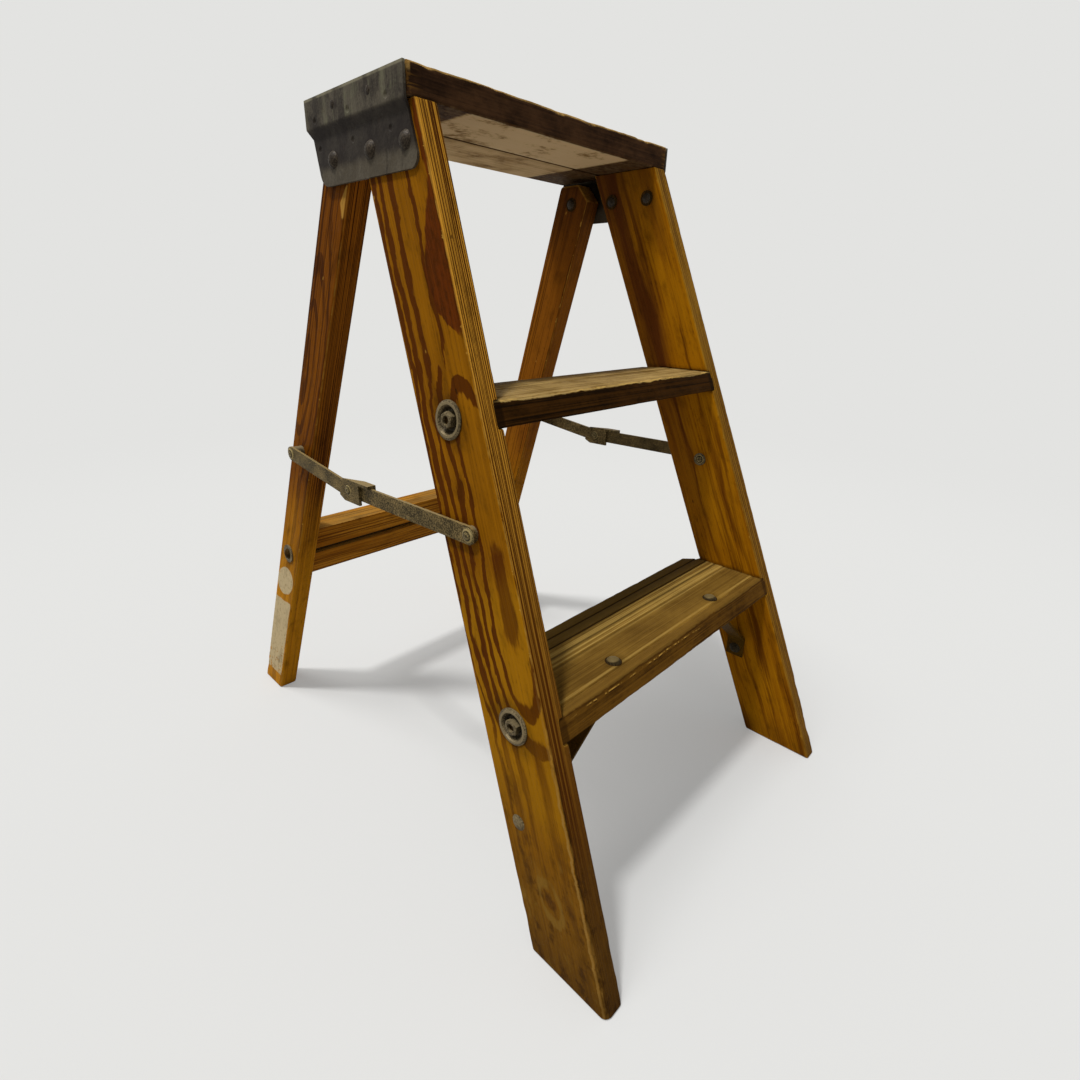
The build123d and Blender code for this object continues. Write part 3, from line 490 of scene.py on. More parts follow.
class Board:
    """Grain and wear that every varnished board has, in its own lines."""

    def __init__(self, paint, place, depth, thickness, draw):
        self.paint = paint
        self.place = place
        self.draw = draw
        along, across, through = place
        side = across.least(depth - across)
        face = through.least(thickness - through)
        self.narrow = side.fall(0.3, 1.1)
        broken = paint.ripple(place, BROKEN_VARNISH, draw)
        self.bare = side.least(face).rise(0.16, 0.5) * broken.rise(-0.25, 0.15)
        jag = paint.ripple(place, FRAYED_VARNISH, draw) * 10 - 1.0
        self.frayed = (side - jag).fall(0, 0.5) * face.fall(0.5, 1.0)
        noise = [paint.ripple(place, waves, draw) for waves in (FIBRES, GRAIN, MOTTLE, CLOUD)]
        self.streaks, self.grain, self.mottle, self.cloud = noise
        self.lines = edge_lines(paint, along, through, draw)

    def figured(self, figure, tones, edge_tones, fade=0.0):
        """Colour the wide faces by their figure, and the narrow faces darker to the foot."""
        paint = self.paint
        light, middle, dark = tones
        hue = self.cloud + self.grain * 0.9 + self.streaks * 0.4
        wide = paint.mix(light, middle, hue.rise(-0.5, 0.5))
        drawn = figure + self.grain * 0.3 + self.streaks * 0.3
        wide = paint.mix(wide, dark, drawn.rise(0.1, 0.75) * 0.9)
        pale, deep = edge_tones
        narrow = paint.mix(pale, deep, (self.lines + self.cloud * 0.3).rise(0.0, 0.9))
        narrow = paint.mix(narrow, deep, (self.place[0] + self.cloud * 90).fall(90, 470) * fade)
        paint.ground(wide, narrow, self.narrow)

    def scuffs(self, grime):
        """Slanting scratches where the board is grimy."""
        along, across, through = self.place
        slanting = (along + across, across - along * 0.3, through)
        scuff = self.paint.ripple(slanting, SCUFFS, self.draw)
        return scuff.rise(0.44, 0.58) * (grime + self.cloud).rise(0.0, 0.5)

    def worn(self, figure, dirt, bare_tone, soil_and_seam_shade=0.0):
        """Lay dirt, dents, scratches and bare arrises over the colour, and finish the material."""
        paint = self.paint
        dash = pores(paint, self.place, PORES, self.draw)
        grime = paint.ripple(self.place, GRIME, self.draw).rise(0.02, 0.5)
        specked = (self.mottle + self.grain * 0.6).rise(0.05, 0.6)
        scuff = self.scuffs(grime)
        dents = paint.specks(self.place, DENTS, self.draw)
        nicks = paint.specks(self.place, NICKS, self.draw)
        rubbed = self.bare * (self.streaks * 0.9 + self.mottle * 0.6 + 0.6)
        pale = (scuff * 0.5).most(dents * 0.6).most(rubbed)
        pale = pale.most(self.frayed * (self.mottle + 0.8))
        paint.over(bare_tone, pale)
        paint.over(dirt, (grime * 0.5).most(dash * 0.45).most(specked * 0.55))
        # on the rails this soil also carries painted contact shade along the tread ends
        paint.over(dirt, ((self.mottle * 0.8 + 0.6) * soil_and_seam_shade).most(nicks * 0.8))
        relief = self.streaks * 0.4 + self.grain * 0.4 - self.lines * self.narrow * 0.5
        height = relief - figure * 0.15 - nicks * 0.6 - dents * 0.4
        rough = self.streaks * 0.08 + grime * 0.12 + pale * 0.2 + 0.46
        return paint.finish(roughness=rough, normal=paint.bump(height, 0.5))


def left_rail_knot(z, setback, bend, fray, swell):
    """Distance from the knot of the left rail, the ringed knot, and its pale halo."""
    away = ((setback - KNOT_SETBACK) ** 2 * 1.3 + (z - KNOT_HEIGHT) ** 2).root() + bend * 0.5 + fray * 1.5
    knot = away.fall(3, 6).most(away.hump(25, 3, 6) * (swell + 0.9).rise(0.0, 1.8) * 0.7)
    halo = away.hump(13, 2, 3) * (1 - swell).rise(-0.4, 1.4)
    return away, knot, halo


def left_rail_figure(paint, place, streaks):
    """Flame figure of the left rail: loops about a heart, a red patch and a knot."""
    z, setback, inset = place
    bend = paint.ripple(place, Waves(85, 55, 60, 3)) * 10
    fray = paint.ripple(place, Waves(26, 9, 20, 4, 3.0, 0.62)) * 5 + streaks * 1.6
    swell = paint.ripple((z, setback, 0.0), Waves(55, 15, 1, 5)) * 6
    above = ((z - HEART_HEIGHT).most(0) / LOOP_ABOVE) ** 3 * LOOP_PULL
    below = ((HEART_HEIGHT - z).most(0) / LOOP_BELOW) ** 2 * LOOP_PULL
    ends = above.most(below).least(LOOP_LIMIT)
    heart = setback - HEART_SETBACK + bend + fray
    lower = distance(heart, ends) + inset * 0.5
    upper = setback - 1 + bend * 0.8 + fray + inset * 0.5
    level = z + bend * 1.5 + fray * 2
    core = abs(heart).fall(5, 9) * (z + fray * 4).hump(280, 26, 16) * 0.7
    low_lines = bands(lower, swell - level.rise(420, 440) * 8, LOWER_BANDS).most(core)
    low_lines = low_lines * level.fall(426, 440)
    high_lines = bands(upper, swell - level.fall(408, 434) * 8, UPPER_BANDS) * level.rise(404, 416)
    away, knot, halo = left_rail_knot(z, setback, bend, fray, swell)
    foot = (z + bend * 4).fall(120, 230)
    figure = low_lines.most(high_lines) * (1 - away.fall(24, 42)) * (1 - foot * 0.55) + knot * 0.6
    width = (z + fray * 2).rise(*PATCH_SPREAD) * (PATCH_WIDTH - z.rise(*PATCH_TAPER) * PATCH_TIP)
    patch = (upper - width + swell).fall(-1.2, 0.6) * (z + fray * 2).rise(*PATCH_FOOT)
    return figure, patch, halo


def middle_of(node):
    """Middle of a CAD piece, in millimetres."""
    low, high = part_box(node)
    return [(a + b) / 2 * MM for a, b in zip(low, high)]


def rail_soil_and_seam_shade(z, setback, inset):
    """Dirt that gathers about the cup washers, and dirt with painted contact shade along the ends of the treads.
    """
    soil_and_seam_shade = 0.0
    for node in ("lower_cup_washers", "upper_cup_washers"):
        y, height = middle_of(node)[1:]
        place = y - height * RAIL_LEAN - FRONT_FOOT
        away = ((setback - place) ** 2 + (z - height) ** 2).root()
        soil_and_seam_shade = (away.fall(13, 27) * inset.fall(1, 3) * 0.7).most(soil_and_seam_shade)
    for top, depth in ((LOWER_TREAD, LOWER_DEPTH), (UPPER_TREAD, UPPER_DEPTH)):
        half = STEP_THICKNESS / 2
        # dirt and painted contact shade in the corners along the tread ends
        seam = (abs(z - top + half) - half).most(setback - depth).fall(0, 5)
        soil_and_seam_shade = (seam * inset.rise(RAIL_THICKNESS - 2, RAIL_THICKNESS - 1) * 0.8).most(soil_and_seam_shade)
    return soil_and_seam_shade


def left_rail_foot(board, halo):
    """Lay on the olive foot of the left rail, blotched, with a pale worn line and a line of painted shade along
    its front arris.
    """
    paint = board.paint
    z, setback, inset = board.place
    foot = (z + board.cloud * 70).fall(30, 170)
    paint.over(FOOT_OLIVE, foot * 0.6)
    blot = paint.ripple(board.place, Waves(18, 12, 12, 8, 4.0, 0.65))
    paint.over(FOOT_BROWN, blot.rise(0.03, 0.26) * foot * 0.7)
    paint.over(FOOT_PALE, (blot.fall(-0.4, -0.1) * foot).most(halo) * 0.55)
    slide = setback - inset + paint.ripple((z, 0.0, 0.0), Waves(11, 1, 1, 9, 4.0, 0.7)) * 4
    rubbed = (z + board.cloud * 60).fall(130, 250) * (board.mottle + 0.8).rise(0.1, 0.7)
    # painted shade: a dark line on the front side of the arris, beside the pale worn line
    paint.over(ARRIS_PAINTED_SHADE, slide.hump(-1.0, 0.5, 0.8) * rubbed * 0.8)
    paint.over(ARRIS_PALE, slide.hump(1.8, 0.8, 0.8) * rubbed * 0.7)


def left_rail_varnish():
    """Amber varnish over the strong figure of the left rail."""
    paint = Paint("left_rail_varnish")
    place = rail_lines(paint)
    z = place[0]
    board = Board(paint, place, RAIL_DEPTH, RAIL_THICKNESS, draw=0.0)
    figure, patch, halo = left_rail_figure(paint, place, board.streaks)
    board.figured(figure, AMBER, AMBER_EDGE, 0.9)
    red = paint.mix(*RED_PATCH, (board.grain + board.mottle).rise(-0.3, 0.4))
    paint.over(red, patch * (1 - board.narrow) * 0.9)
    golden = (z + board.cloud * 60).hump(200, 60, 50) * (1 - figure) * (1 - board.narrow)
    paint.over(GOLDEN, golden * 0.45)
    left_rail_foot(board, halo)
    soil_and_seam_shade = rail_soil_and_seam_shade(*place).most((z + board.mottle * 50).fall(4, 40) * 0.7)
    bare = paint.mix(BARE_FOOT, BARE_AMBER, z.rise(60, 260))
    return board.worn(figure, AMBER_DIRT, bare, soil_and_seam_shade)


def right_rail_varnish():
    """Honey varnish over the quieter figure of the right rail, with painted shade over its rear and under the top.
    """
    paint = Paint("right_rail_varnish")
    place = rail_lines(paint)
    z, setback, inset = place
    board = Board(paint, place, RAIL_DEPTH, RAIL_THICKNESS, draw=10.0)
    sway = paint.ripple(place, Waves(110, 40, 60, 14, 3.0)) * 14
    rings = paint.ripple((z, setback + sway, inset), Waves(260, 12, 14, 16, 2.5, 0.55))
    figure = rings.rise(-0.2, 0.35) * 0.75
    board.figured(figure, HONEY, HONEY_EDGE, 0.3)
    # painted shade over the rear of the right rail, where the top board and the upper tread cast shadow
    rear = (setback + board.cloud * 16).rise(30, 52) * z.rise(120, 420)
    paint.over(HONEY_REAR_SHADE, rear * 0.55)
    # painted shade on the inner face just under the top board
    shade_under_top = (z + board.cloud * 40).rise(490, 580) * setback.rise(3, 9)
    paint.over(HONEY_SHADE_UNDER_TOP, shade_under_top * 0.5)
    soil_and_seam_shade = rail_soil_and_seam_shade(*place).most((z + board.mottle * 50).fall(4, 40) * 0.6)
    return board.worn(figure, HONEY_DIRT, BARE_HONEY, soil_and_seam_shade)


def leg_figure(paint, place, left):
    """Straight figure of the legs, with loops near the rear edge of the left one."""
    z, setback, inset = place
    sway = paint.ripple(place, Waves(45, 25, 40, 23, 3.0)) * 6
    heart = setback - LEG_HEART_SETBACK + sway
    depth = abs(z - LEG_HEART_HEIGHT).rise(0, 130) * 26 + 2 + inset * 0.6
    width = distance(heart, depth)
    ring = width / 9 + paint.ripple((width, z, 0.0), Waves(14, 150, 1, 24)) * 0.5
    loops = late_wood(paint, ring, z, setback)
    straight = paint.ripple((z, setback + sway * 0.3, inset), Waves(420, 2.6, 4, 26, 2.0, 0.6))
    return loops * left * inset.fall(2, 8) * 0.5 + straight.rise(-0.05, 0.3) * 0.65


def torn_paper(paint, z, setback):
    """Blank remnants of pasted paper: a torn oblong near the foot and an oval above it."""
    rag = paint.ripple((z, setback, 0.0), Waves(7, 7, 1, 28, 4.0, 0.6)) * 3
    oblong = (z + rag).hump(PAPER_HEIGHT, 57, 1) * (setback + rag * 0.6).hump(PAPER_SETBACK, 18.5, 1)
    down = (z + rag * 0.6 - OVAL_HEIGHT) / OVAL_RADIUS
    out = (setback + rag * 0.4 - PAPER_SETBACK) / OVAL_RADIUS
    oval = (down * down + out * out).fall(0.9, 1.0)
    flaked = (paint.ripple((z, setback, 0.0), Waves(9, 6, 1, 29, 4.0, 0.65)) - z / 240).rise(-0.05, 0.08)
    return oblong.most(oval) * (1 - flaked)


def aged_paper(paint, z, setback):
    """Spotted colour of old paper, browner to the foot."""
    cream, buff, brown = PAPER
    spots = paint.ripple((z, setback, 0.0), Waves(5, 5, 1, 27, 4.0, 0.65))
    aged = paint.mix(cream, buff, spots.rise(0.0, 0.5))
    return paint.mix(aged, brown, (spots - z / 160).rise(-0.25, 0.4) * 0.7)


def leg_varnish():
    """Red-brown varnish over the rear legs, with torn paper on the left one and painted shade under the top on the
    right one.
    """
    paint = Paint("leg_varnish")
    place = leg_lines(paint)
    z, setback, inset = place
    left = paint.place()[0].fall(-1, 1)
    board = Board(paint, place, LEG_DEPTH, LEG_THICKNESS, draw=20.0)
    figure = leg_figure(paint, place, left)
    board.figured(figure, RUSSET, RUSSET_EDGE)
    paint.over(RUSSET_RIGHT, (1 - left) * (1 - figure) * 0.45)
    # painted shade on the right leg just under the top board
    shade_under_top = (z + board.cloud * 40).rise(480, 580) * (1 - left)
    paint.over(RUSSET_SHADE_UNDER_TOP, shade_under_top * 0.6)
    low = (z + board.cloud * 90).fall(130, 330)
    paint.over(RUSSET_FOOT, low * (1 - figure * 0.6) * 0.75)
    slope = (setback - 6 + abs(z - NOTCH_HEIGHT) * 0.5).fall(3, 4.2)
    notch = slope * z.hump(NOTCH_HEIGHT, 10, 2) * left * inset.fall(0.3, 1)
    paint.over(RUSSET_NOTCH, notch * setback.rise(1, 3) * 0.8)
    paper = torn_paper(paint, z, setback) * inset.fall(0.15, 0.35) * left
    paint.over(aged_paper(paint, z, setback), paper)
    return board.worn(figure * (1 - paper), RUSSET_DIRT, BARE_RUSSET)


def cross_rail_varnish():
    """Amber varnish over the cross rail, grained along its length and rubbed pale on top."""
    paint = Paint("cross_rail_varnish")
    place = paint.place()
    x, y, z = place
    light, middle, dark = CROSS
    streaks = paint.ripple(place, FIBRES._replace(draw=31))
    grain = paint.ripple(place, GRAIN._replace(draw=36))
    cloud = paint.ripple(place, Waves(110, 30, 30, 32, 3.0))
    sway = paint.ripple(place, Waves(130, 40, 40, 33)) * 4
    figure = paint.ripple((x, z + sway, y), Waves(400, 2.2, 3, 35, 2.0, 0.6)).rise(-0.1, 0.3)
    paint.ground(light, middle, (cloud + grain).rise(-0.4, 0.4))
    paint.over(dark, (figure + streaks * 0.3 + grain * 0.4).rise(0.1, 0.9) * 0.8)
    rubbed = paint.facing().rise(0.7, 0.9) * (streaks + cloud + 0.6).rise(0.0, 1.0)
    paint.over(CROSS_RUBBED, rubbed * 0.8)
    grime = paint.ripple(place, Waves(30, 20, 20, 34, 4.0)).rise(0.1, 0.6)
    paint.over(CROSS_DIRT, grime * 0.45)
    height = streaks * 0.4 + grain * 0.4 - figure * 0.3
    rough = grime * 0.12 + 0.48
    return paint.finish(roughness=rough, normal=paint.bump(height, 0.45))


# Treads and top


class Plank:
    """Grain of a level board, and its distances from the front edge, the upper face and the rails."""

    def __init__(self, paint, top, lean, front, draw):
        self.paint = paint
        self.x, y, z = paint.place()
        self.setback = y - z * lean - front
        self.drop = top - z
        self.gap = HALF_SPREAD - RAIL_THICKNESS - z * RAIL_SPLAY - abs(self.x)
        place = (self.x, self.setback, self.drop)
        noise = [paint.ripple(place, waves, draw) for waves in TREAD_WAVES]
        self.streaks, self.bands, self.fine, self.mottle, self.cloud, self.rag, self.sweep = noise
        self.dash = pores(paint, place, TREAD_PORES, draw)

    def along(self, waves):
        """Noise that changes only along the board."""
        return self.paint.ripple((self.x, 0.0, 0.0), waves)

    def finish(self, extra):
        """Relief and gloss of dry worn wood."""
        height = self.streaks * 0.3 + self.fine * 0.5 + self.bands * 0.3 - self.dash * 0.25 + extra
        rough = self.streaks * 0.08 + self.cloud * 0.08 + 0.6
        return self.paint.finish(roughness=rough, normal=self.paint.bump(height, 0.6))


def tread_front(plank, tones, reach):
    """Lay on the front of a tread: dirty varnish with a ragged end, and a partly bare arris; then darken the tread
    where it meets the rails, with dirt and painted contact shade.
    """
    paint = plank.paint
    front, dark, splinter = tones
    jag = plank.rag * 2.2 + plank.sweep * 3.0
    covered = (plank.drop + jag).rise(1.0, 2.0)
    stain = plank.fine + plank.bands * 0.6 + plank.mottle * 0.35 + plank.cloud * 0.6
    face = paint.mix(front, dark, stain.rise(-0.3, 0.45))
    on_front = plank.setback.fall(0.4, 1.6)
    paint.over(face, (on_front * covered).most(plank.drop.rise(1.8, 2.6)))
    seam = (plank.drop + jag * 0.6).hump(2.2, 0.3, 0.7) * on_front * (plank.fine + 0.7).rise(0.1, 0.7)
    paint.over(dark, seam * 0.7)
    arris = plank.setback.least(plank.drop).rise(0.2, 0.6)
    bare = arris * plank.setback.fall(3, 7) * plank.drop.fall(3, 7)
    lip = (plank.drop + jag).hump(0.9, 0.2, 0.8) * on_front
    here = (plank.sweep * 1.4 + plank.rag + reach).rise(0.0, 0.5)
    paint.over(splinter, bare.most(lip) * here * (plank.fine + 0.7).rise(0.1, 0.8))
    # dirt and painted contact shade where the tread meets the rails
    paint.over(dark, (plank.gap + plank.mottle * 2).fall(0, 2.5) * 0.7)


def grip_grooves(setback):
    """The groove behind the front edge and the grip grooves behind it."""
    groove = abs(setback - FRONT_GROOVE).fall(*GROOVE_EDGE)
    for row in range(GRIP_GROOVES):
        groove = groove.most(abs(setback - FIRST_GRIP_GROOVE - row * GRIP_PITCH).fall(*GROOVE_EDGE))
    return groove


def from_bolt(x, setback):
    """Distance from the middle of the nearer bolt on the lower tread."""
    return ((abs(x) - BOLT_REACH) ** 2 + (setback - BOLT_SETBACK) ** 2).root()


def lower_tread_top(plank, groove):
    """Colour the upper face of the lower tread: brown nose and hollow, pale reeds, dark grooves, and painted shade
    round the bolt heads.
    """
    paint, setback = plank.paint, plank.setback
    hue = plank.cloud * 0.7 + plank.fine * 0.8 + plank.bands * 0.3
    paint.ground(LOWER_TAN, LOWER_BROWN, hue.rise(-0.35, 0.35))
    reeds = setback.rise(38, 41) * setback.fall(62, 65)
    paint.over(LOWER_PALE, reeds * (plank.fine + plank.bands * 0.7).rise(-0.25, 0.3) * 0.85)
    lip = setback.hump(11.2, 0.6, 0.9) * (plank.streaks * 0.5 + plank.cloud + 0.7).rise(0.1, 0.8)
    paint.over(LOWER_PALE, lip * 0.45)
    paint.over(LOWER_NOSE, setback.fall(7, 9) * 0.7)
    paint.over(LOWER_REAR, setback.rise(63, 65) * 0.85)
    paint.over(LOWER_HOLLOW, setback.hump(25, 10, 5) * 0.4)
    worn = (plank.dash * 0.5).most((plank.streaks + plank.mottle * 0.6).rise(0.1, 0.65) * 0.5)
    paint.over(LOWER_DARK, worn)
    paint.over(LOWER_DARK, groove * (setback / 90).rise(0.2, 0.75) * 0.8)
    bolt = from_bolt(plank.x, setback)
    # painted shade: a dark ring and a faint dark halo round each bolt head
    paint.over(LOWER_DARK, bolt.hump(BOLT_RIM, 0.5, 0.9).most(bolt.fall(6, 15) * 0.3))


def lower_tread_wood():
    """Lower tread: rubbed tan wood, and a brown front with a crack and slivers."""
    paint = Paint("lower_tread_wood")
    plank = Plank(paint, LOWER_TREAD, RAIL_LEAN, FRONT_FOOT, draw=40.0)
    groove = grip_grooves(plank.setback)
    lower_tread_top(plank, groove)
    near_left = (plank.x + TORN_LEFT).hump(0, 60, 40)
    tread_front(plank, LOWER_FRONT, near_left * 0.1 - 0.55)
    path = plank.drop + (plank.along(Waves(55, 1, 1, 48, 1.0)) * 4 + plank.streaks * 0.4)
    torn = plank.along(Waves(30, 1, 1, 49, 1.0)).rise(-0.2, -0.08) * near_left
    torn = torn * plank.along(Waves(16, 1, 1, 47, 3.0, 0.6)).rise(-0.04, 0.06)
    on_front = plank.setback.fall(0.5, 1.5)
    crack = path.hump(4.2, 0.2, 0.5) * on_front * torn
    shade, splinter = LOWER_FRONT[1:]
    paint.over(shade, path.hump(5.2, 0.2, 0.6) * on_front * torn)
    paint.over(splinter, crack)
    return plank.finish(groove * -0.2 - crack * 0.4)


def upper_tread_wood():
    """Upper tread: paler rubbed wood and a front dark with dirt."""
    paint = Paint("upper_tread_wood")
    plank = Plank(paint, UPPER_TREAD, RAIL_LEAN, FRONT_FOOT, draw=50.0)
    hue = plank.cloud * 0.6 + plank.fine + plank.bands * 0.6
    paint.ground(UPPER_PALE, UPPER_TAN, hue.rise(-0.3, 0.3))
    worn = (plank.dash * 0.55).most((plank.streaks + plank.mottle * 0.6).rise(0.05, 0.6) * 0.6)
    paint.over(UPPER_DARK, worn)
    paint.over(UPPER_REAR, (plank.setback + plank.cloud * 6).rise(50, 58) * 0.75)
    tread_front(plank, UPPER_FRONT, 0.3)
    return plank.finish(plank.rag * 0.1)


def top_underside(plank):
    """Raw wood under the top, with a paler oblong, smudges, varnish at its edge and painted shade in the groove
    along its middle.
    """
    paint, setback, mottle = plank.paint, plank.setback, plank.mottle
    under = paint.mix(*TOP_RAW, (plank.cloud + plank.fine).rise(-0.4, 0.5))
    out = plank.x + OBLONG_LEFT
    varnish = (abs(out) + plank.rag * 2).rise(94, 98).most(setback.fall(2, 5))
    under = paint.mix(under, TOP_VARNISH, varnish * (mottle * 0.4 + 0.9))
    smudge = plank.rag * 0.6 + plank.cloud + mottle * 0.5
    oblong = out.hump(0, 93, 1.2) * setback.hump(OBLONG_SETBACK, 31.5, 1.2)
    under = paint.mix(under, TOP_OBLONG, oblong * (1 - smudge.rise(0.0, 0.4)) * 0.9)
    under = paint.mix(under, TOP_SMUDGE, smudge.rise(0.05, 0.5) * 0.65)
    # painted shade: a dark line where the groove runs along the underside
    return paint.mix(under, TOP_GROOVE_SHADE, abs(setback - TOP_DEPTH / 2).fall(1.4, 2.4) * 0.85)


def top_wood():
    """Top board: rubbed tan on top, dark edges with bare rims, raw wood below."""
    paint = Paint("top_wood")
    plank = Plank(paint, HEIGHT, 0.0, TOP_FRONT, draw=60.0)
    setback, drop, fine, mottle = plank.setback, plank.drop, plank.fine, plank.mottle
    hue = plank.cloud * 0.5 + fine + plank.bands * 0.7
    paint.ground(*TOP_TAN, hue.rise(-0.4, 0.35))
    worn = (plank.dash * 0.5).most((plank.streaks + mottle * 0.6).rise(0.1, 0.65) * 0.55)
    paint.over(TOP_DARK, worn)
    edge = paint.mix(*TOP_EDGE, (plank.cloud + fine * 0.5 + mottle * 0.4).rise(-0.6, 0.5))
    jag = plank.rag * 2.2 + plank.sweep * 3.2
    paint.over(edge, (drop + jag).rise(1.0, 2.2).most(drop.rise(1.6, 2.4)))
    paint.over(top_underside(plank), (drop - 18.2).rise(0.0, 0.7))
    inward = setback.least(TOP_DEPTH - setback).least(drop)
    bare = inward.rise(0.2, 0.6) * drop.fall(3, 7)
    rim = (drop + jag).hump(0.9, 0.3, 0.8)
    here = (plank.sweep * 1.4 + plank.rag + 0.2).rise(-0.1, 0.4)
    paint.over(TOP_RIM, bare.most(rim) * here * (fine + 0.7).rise(0.1, 0.8))
    corner = (abs(plank.x) - plank.rag * 5).rise(*CORNER_REACH) * setback.fall(1, 12) * drop.fall(17, 18.5)
    paint.over(TOP_CORNER, corner * (fine + plank.bands).rise(-0.1, 0.4) * 0.5)
    return plank.finish(rim * 0.3)


# Steel


def dull_steel(name, tones, metal, gloss, draw, marks=None):
    """Dull plated steel: blotches, specks and fine scratches, a painted highlight on faces that look up, and the
    marks of one kind of piece.
    """
    paint = Paint(name, specular=gloss)
    place = paint.place()
    blotch = paint.ripple(place, Waves(14, 14, 14, 0, 4.0, 0.6), draw)
    speck = paint.ripple(place, Waves(1.1, 1.1, 1.1, 1, 2.0, 0.6), draw)
    scratch = paint.ripple(place, Waves(0.7, 22, 9, 2, 2.0), draw)
    pale, middle, dark = tones
    paint.ground(pale, middle, (blotch * 0.5 + speck).rise(-0.5, 0.2))
    paint.over(dark, (speck + blotch * 0.6).rise(0.05, 0.5) * 0.75)
    # painted highlight: faces that look up are laid paler
    paint.over(pale, paint.facing().rise(0.6, 0.95) * 0.8)
    height = speck * 0.5 + scratch * 0.4
    # marks lay dark on the hollow and pale on the crest: dirt or a dark tail and rubbed metal for cups and brace
    # rivets, painted shade and painted highlight for bolts and ringed rivets
    if marks:
        hollow, crest = marks(paint)
        paint.over(dark, hollow * (speck * 0.3 + 0.8))
        paint.over(pale, crest * 0.7)
        height = height - hollow * 0.8
    rough = speck * 0.12 + scratch * 0.08 + 0.5
    steel = blotch * 0.15 + metal
    return paint.finish(metallic=steel, roughness=rough, normal=paint.bump(height, 0.14))


def cup_marks(paint):
    """Dirt in the hollow of a cup washer, and its rubbed rim."""
    inset = rail_lines(paint)[2]
    return inset.rise(-1.0, 0.8), inset.fall(-1.9, -1.6)


def brace_rivet_marks(paint):
    """Dark tail of a brace's rivet inside the rail, and its rubbed head outside."""
    inset = rail_lines(paint)[2]
    return inset.rise(8, 12), inset.fall(-1.0, -0.5) * 0.5


def bolt_shade_marks(paint):
    """Painted shade on the flank of a bolt's head, and a painted highlight on its rim."""
    x, y, z = paint.place()
    across = from_bolt(x, y - z * RAIL_LEAN - FRONT_FOOT)
    return across.rise(4.9, 5.5), across.hump(4.3, 0.2, 0.5) * 0.6


def ring_shade_marks(node):
    """Rings painted about the middle of a rivet's head: its middle and a dark ring as painted shade, a pale ring
    as a painted highlight.
    """
    middle_y, middle_z = middle_of(node)[1:]

    def marks(paint):
        y, z = paint.place()[1:]
        across = ((y - middle_y) ** 2 + (z - middle_z) ** 2).root()
        return across.hump(3.4, 0.35, 0.5).most(across.fall(0.9, 1.5)), across.hump(4.6, 0.3, 0.5)

    return marks


def bracket_steel():
    """Dark bracket sheet with pale upright streaks on its flange, and the flange's shadow painted on the plate
    below it.
    """
    paint = Paint("bracket_steel", specular=0.08)
    x, y, z = paint.place()
    blotch = paint.ripple((y, z, x), Waves(16, 20, 40, 70, 4.0, 0.6))
    speck = paint.ripple((x, y, z), Waves(1.8, 1.8, 1.8, 71, 3.0, 0.7))
    mottle = paint.ripple((x, y, z), Waves(6, 6, 6, 74, 4.0, 0.7))
    streak = paint.ripple((y, z, x), Waves(8, 70, 70, 72, 3.0, 0.55))
    paint.ground(*SHEET, (blotch + mottle * 0.6 + speck * 0.4).rise(-0.4, 0.35))
    pale = z.rise(*FLANGE_FOOT) * (streak + blotch * 0.4 + mottle * 0.4).rise(0.05, 0.45)
    paint.over(SHEET_PALE, pale * 0.7)
    paint.over(SHEET_DARK, (streak + mottle * 0.4).fall(-0.5, -0.1) * 0.75)
    # painted shadow of the flange on the plate below it
    flange_shadow = (z + blotch * 5).rise(*FLANGE_SHADOW_FOOT) * z.fall(*FLANGE_SHADOW_HEAD)
    paint.over(SHEET_FLANGE_SHADOW, flange_shadow * 0.75)
    rubbed = (1 - flange_shadow) * z.fall(*RUBBED_HEAD) * (blotch + mottle + 0.5).rise(0.0, 0.9)
    paint.over(SHEET_RUBBED, rubbed * 0.5)
    rust = paint.ripple((y, z, x), Waves(9, 9, 9, 73, 4.0, 0.6)).rise(0.2, 0.6)
    paint.over(SHEET_RUSTY, rust * 0.55)
    rim = z.rise(*FLANGE_RIM) * (streak + 0.6).rise(0.1, 0.8)
    paint.over(SHEET_RIM, rim * 0.7)
    rough = speck * 0.12 + blotch * 0.1 + 0.56
    height = speck * 0.4 + blotch * 0.3 + mottle * 0.3
    steel = blotch * 0.1 + 0.1
    return paint.finish(metallic=steel, roughness=rough, normal=paint.bump(height, 0.25))


# Tones, share of metal, gloss, draw and marks of each kind of steel
STEELS = {
    "zinc": (ZINC, 0.25, 0.1, 80.0),
    "cup": (ZINC, 0.25, 0.1, 82.0, cup_marks),
    "rivet": (RIVET, 0.15, 0.1, 84.0),
    "spreader": (OLIVE, 0.15, 0.04, 88.0),
    "bolt": (TARNISH, 0.1, 0.04, 90.0, bolt_shade_marks),
    "sooty": (BROWN, 0.06, 0.01, 92.0),
    "brace": (SMOKY, 0.06, 0.01, 94.0),
    "brace_rivet": (ZINC, 0.2, 0.05, 96.0, brace_rivet_marks),
}
PIVOT_STEEL = (RINGED, 0.2, 0.08, 98.0)


# Finishes on the pieces

SLOT_FINISH = {
    "zinc_steel": "zinc",
    "rivet_steel": "rivet",
    "spreader_steel": "spreader",
    "brace_steel": "brace",
    "rod_steel": "sooty",
}


def dress(name, material):
    """Give a CAD piece its finish."""
    piece = frame["nodes"][name]
    if not piece.material_slots:
        piece.data.materials.append(material)
    for slot in piece.material_slots:
        slot.material = material


def dress_pivots():
    """Heads of the spreaders' rivets, with rings of painted shade and painted highlight."""
    for kind in ("front_pivot_rivet", "middle_rivet", "rear_pivot_rivet"):
        material = dull_steel(f"{kind}_steel", *PIVOT_STEEL, ring_shade_marks(f"left_{kind}"))
        for side in ("left", "right"):
            dress(f"{side}_{kind}", material)


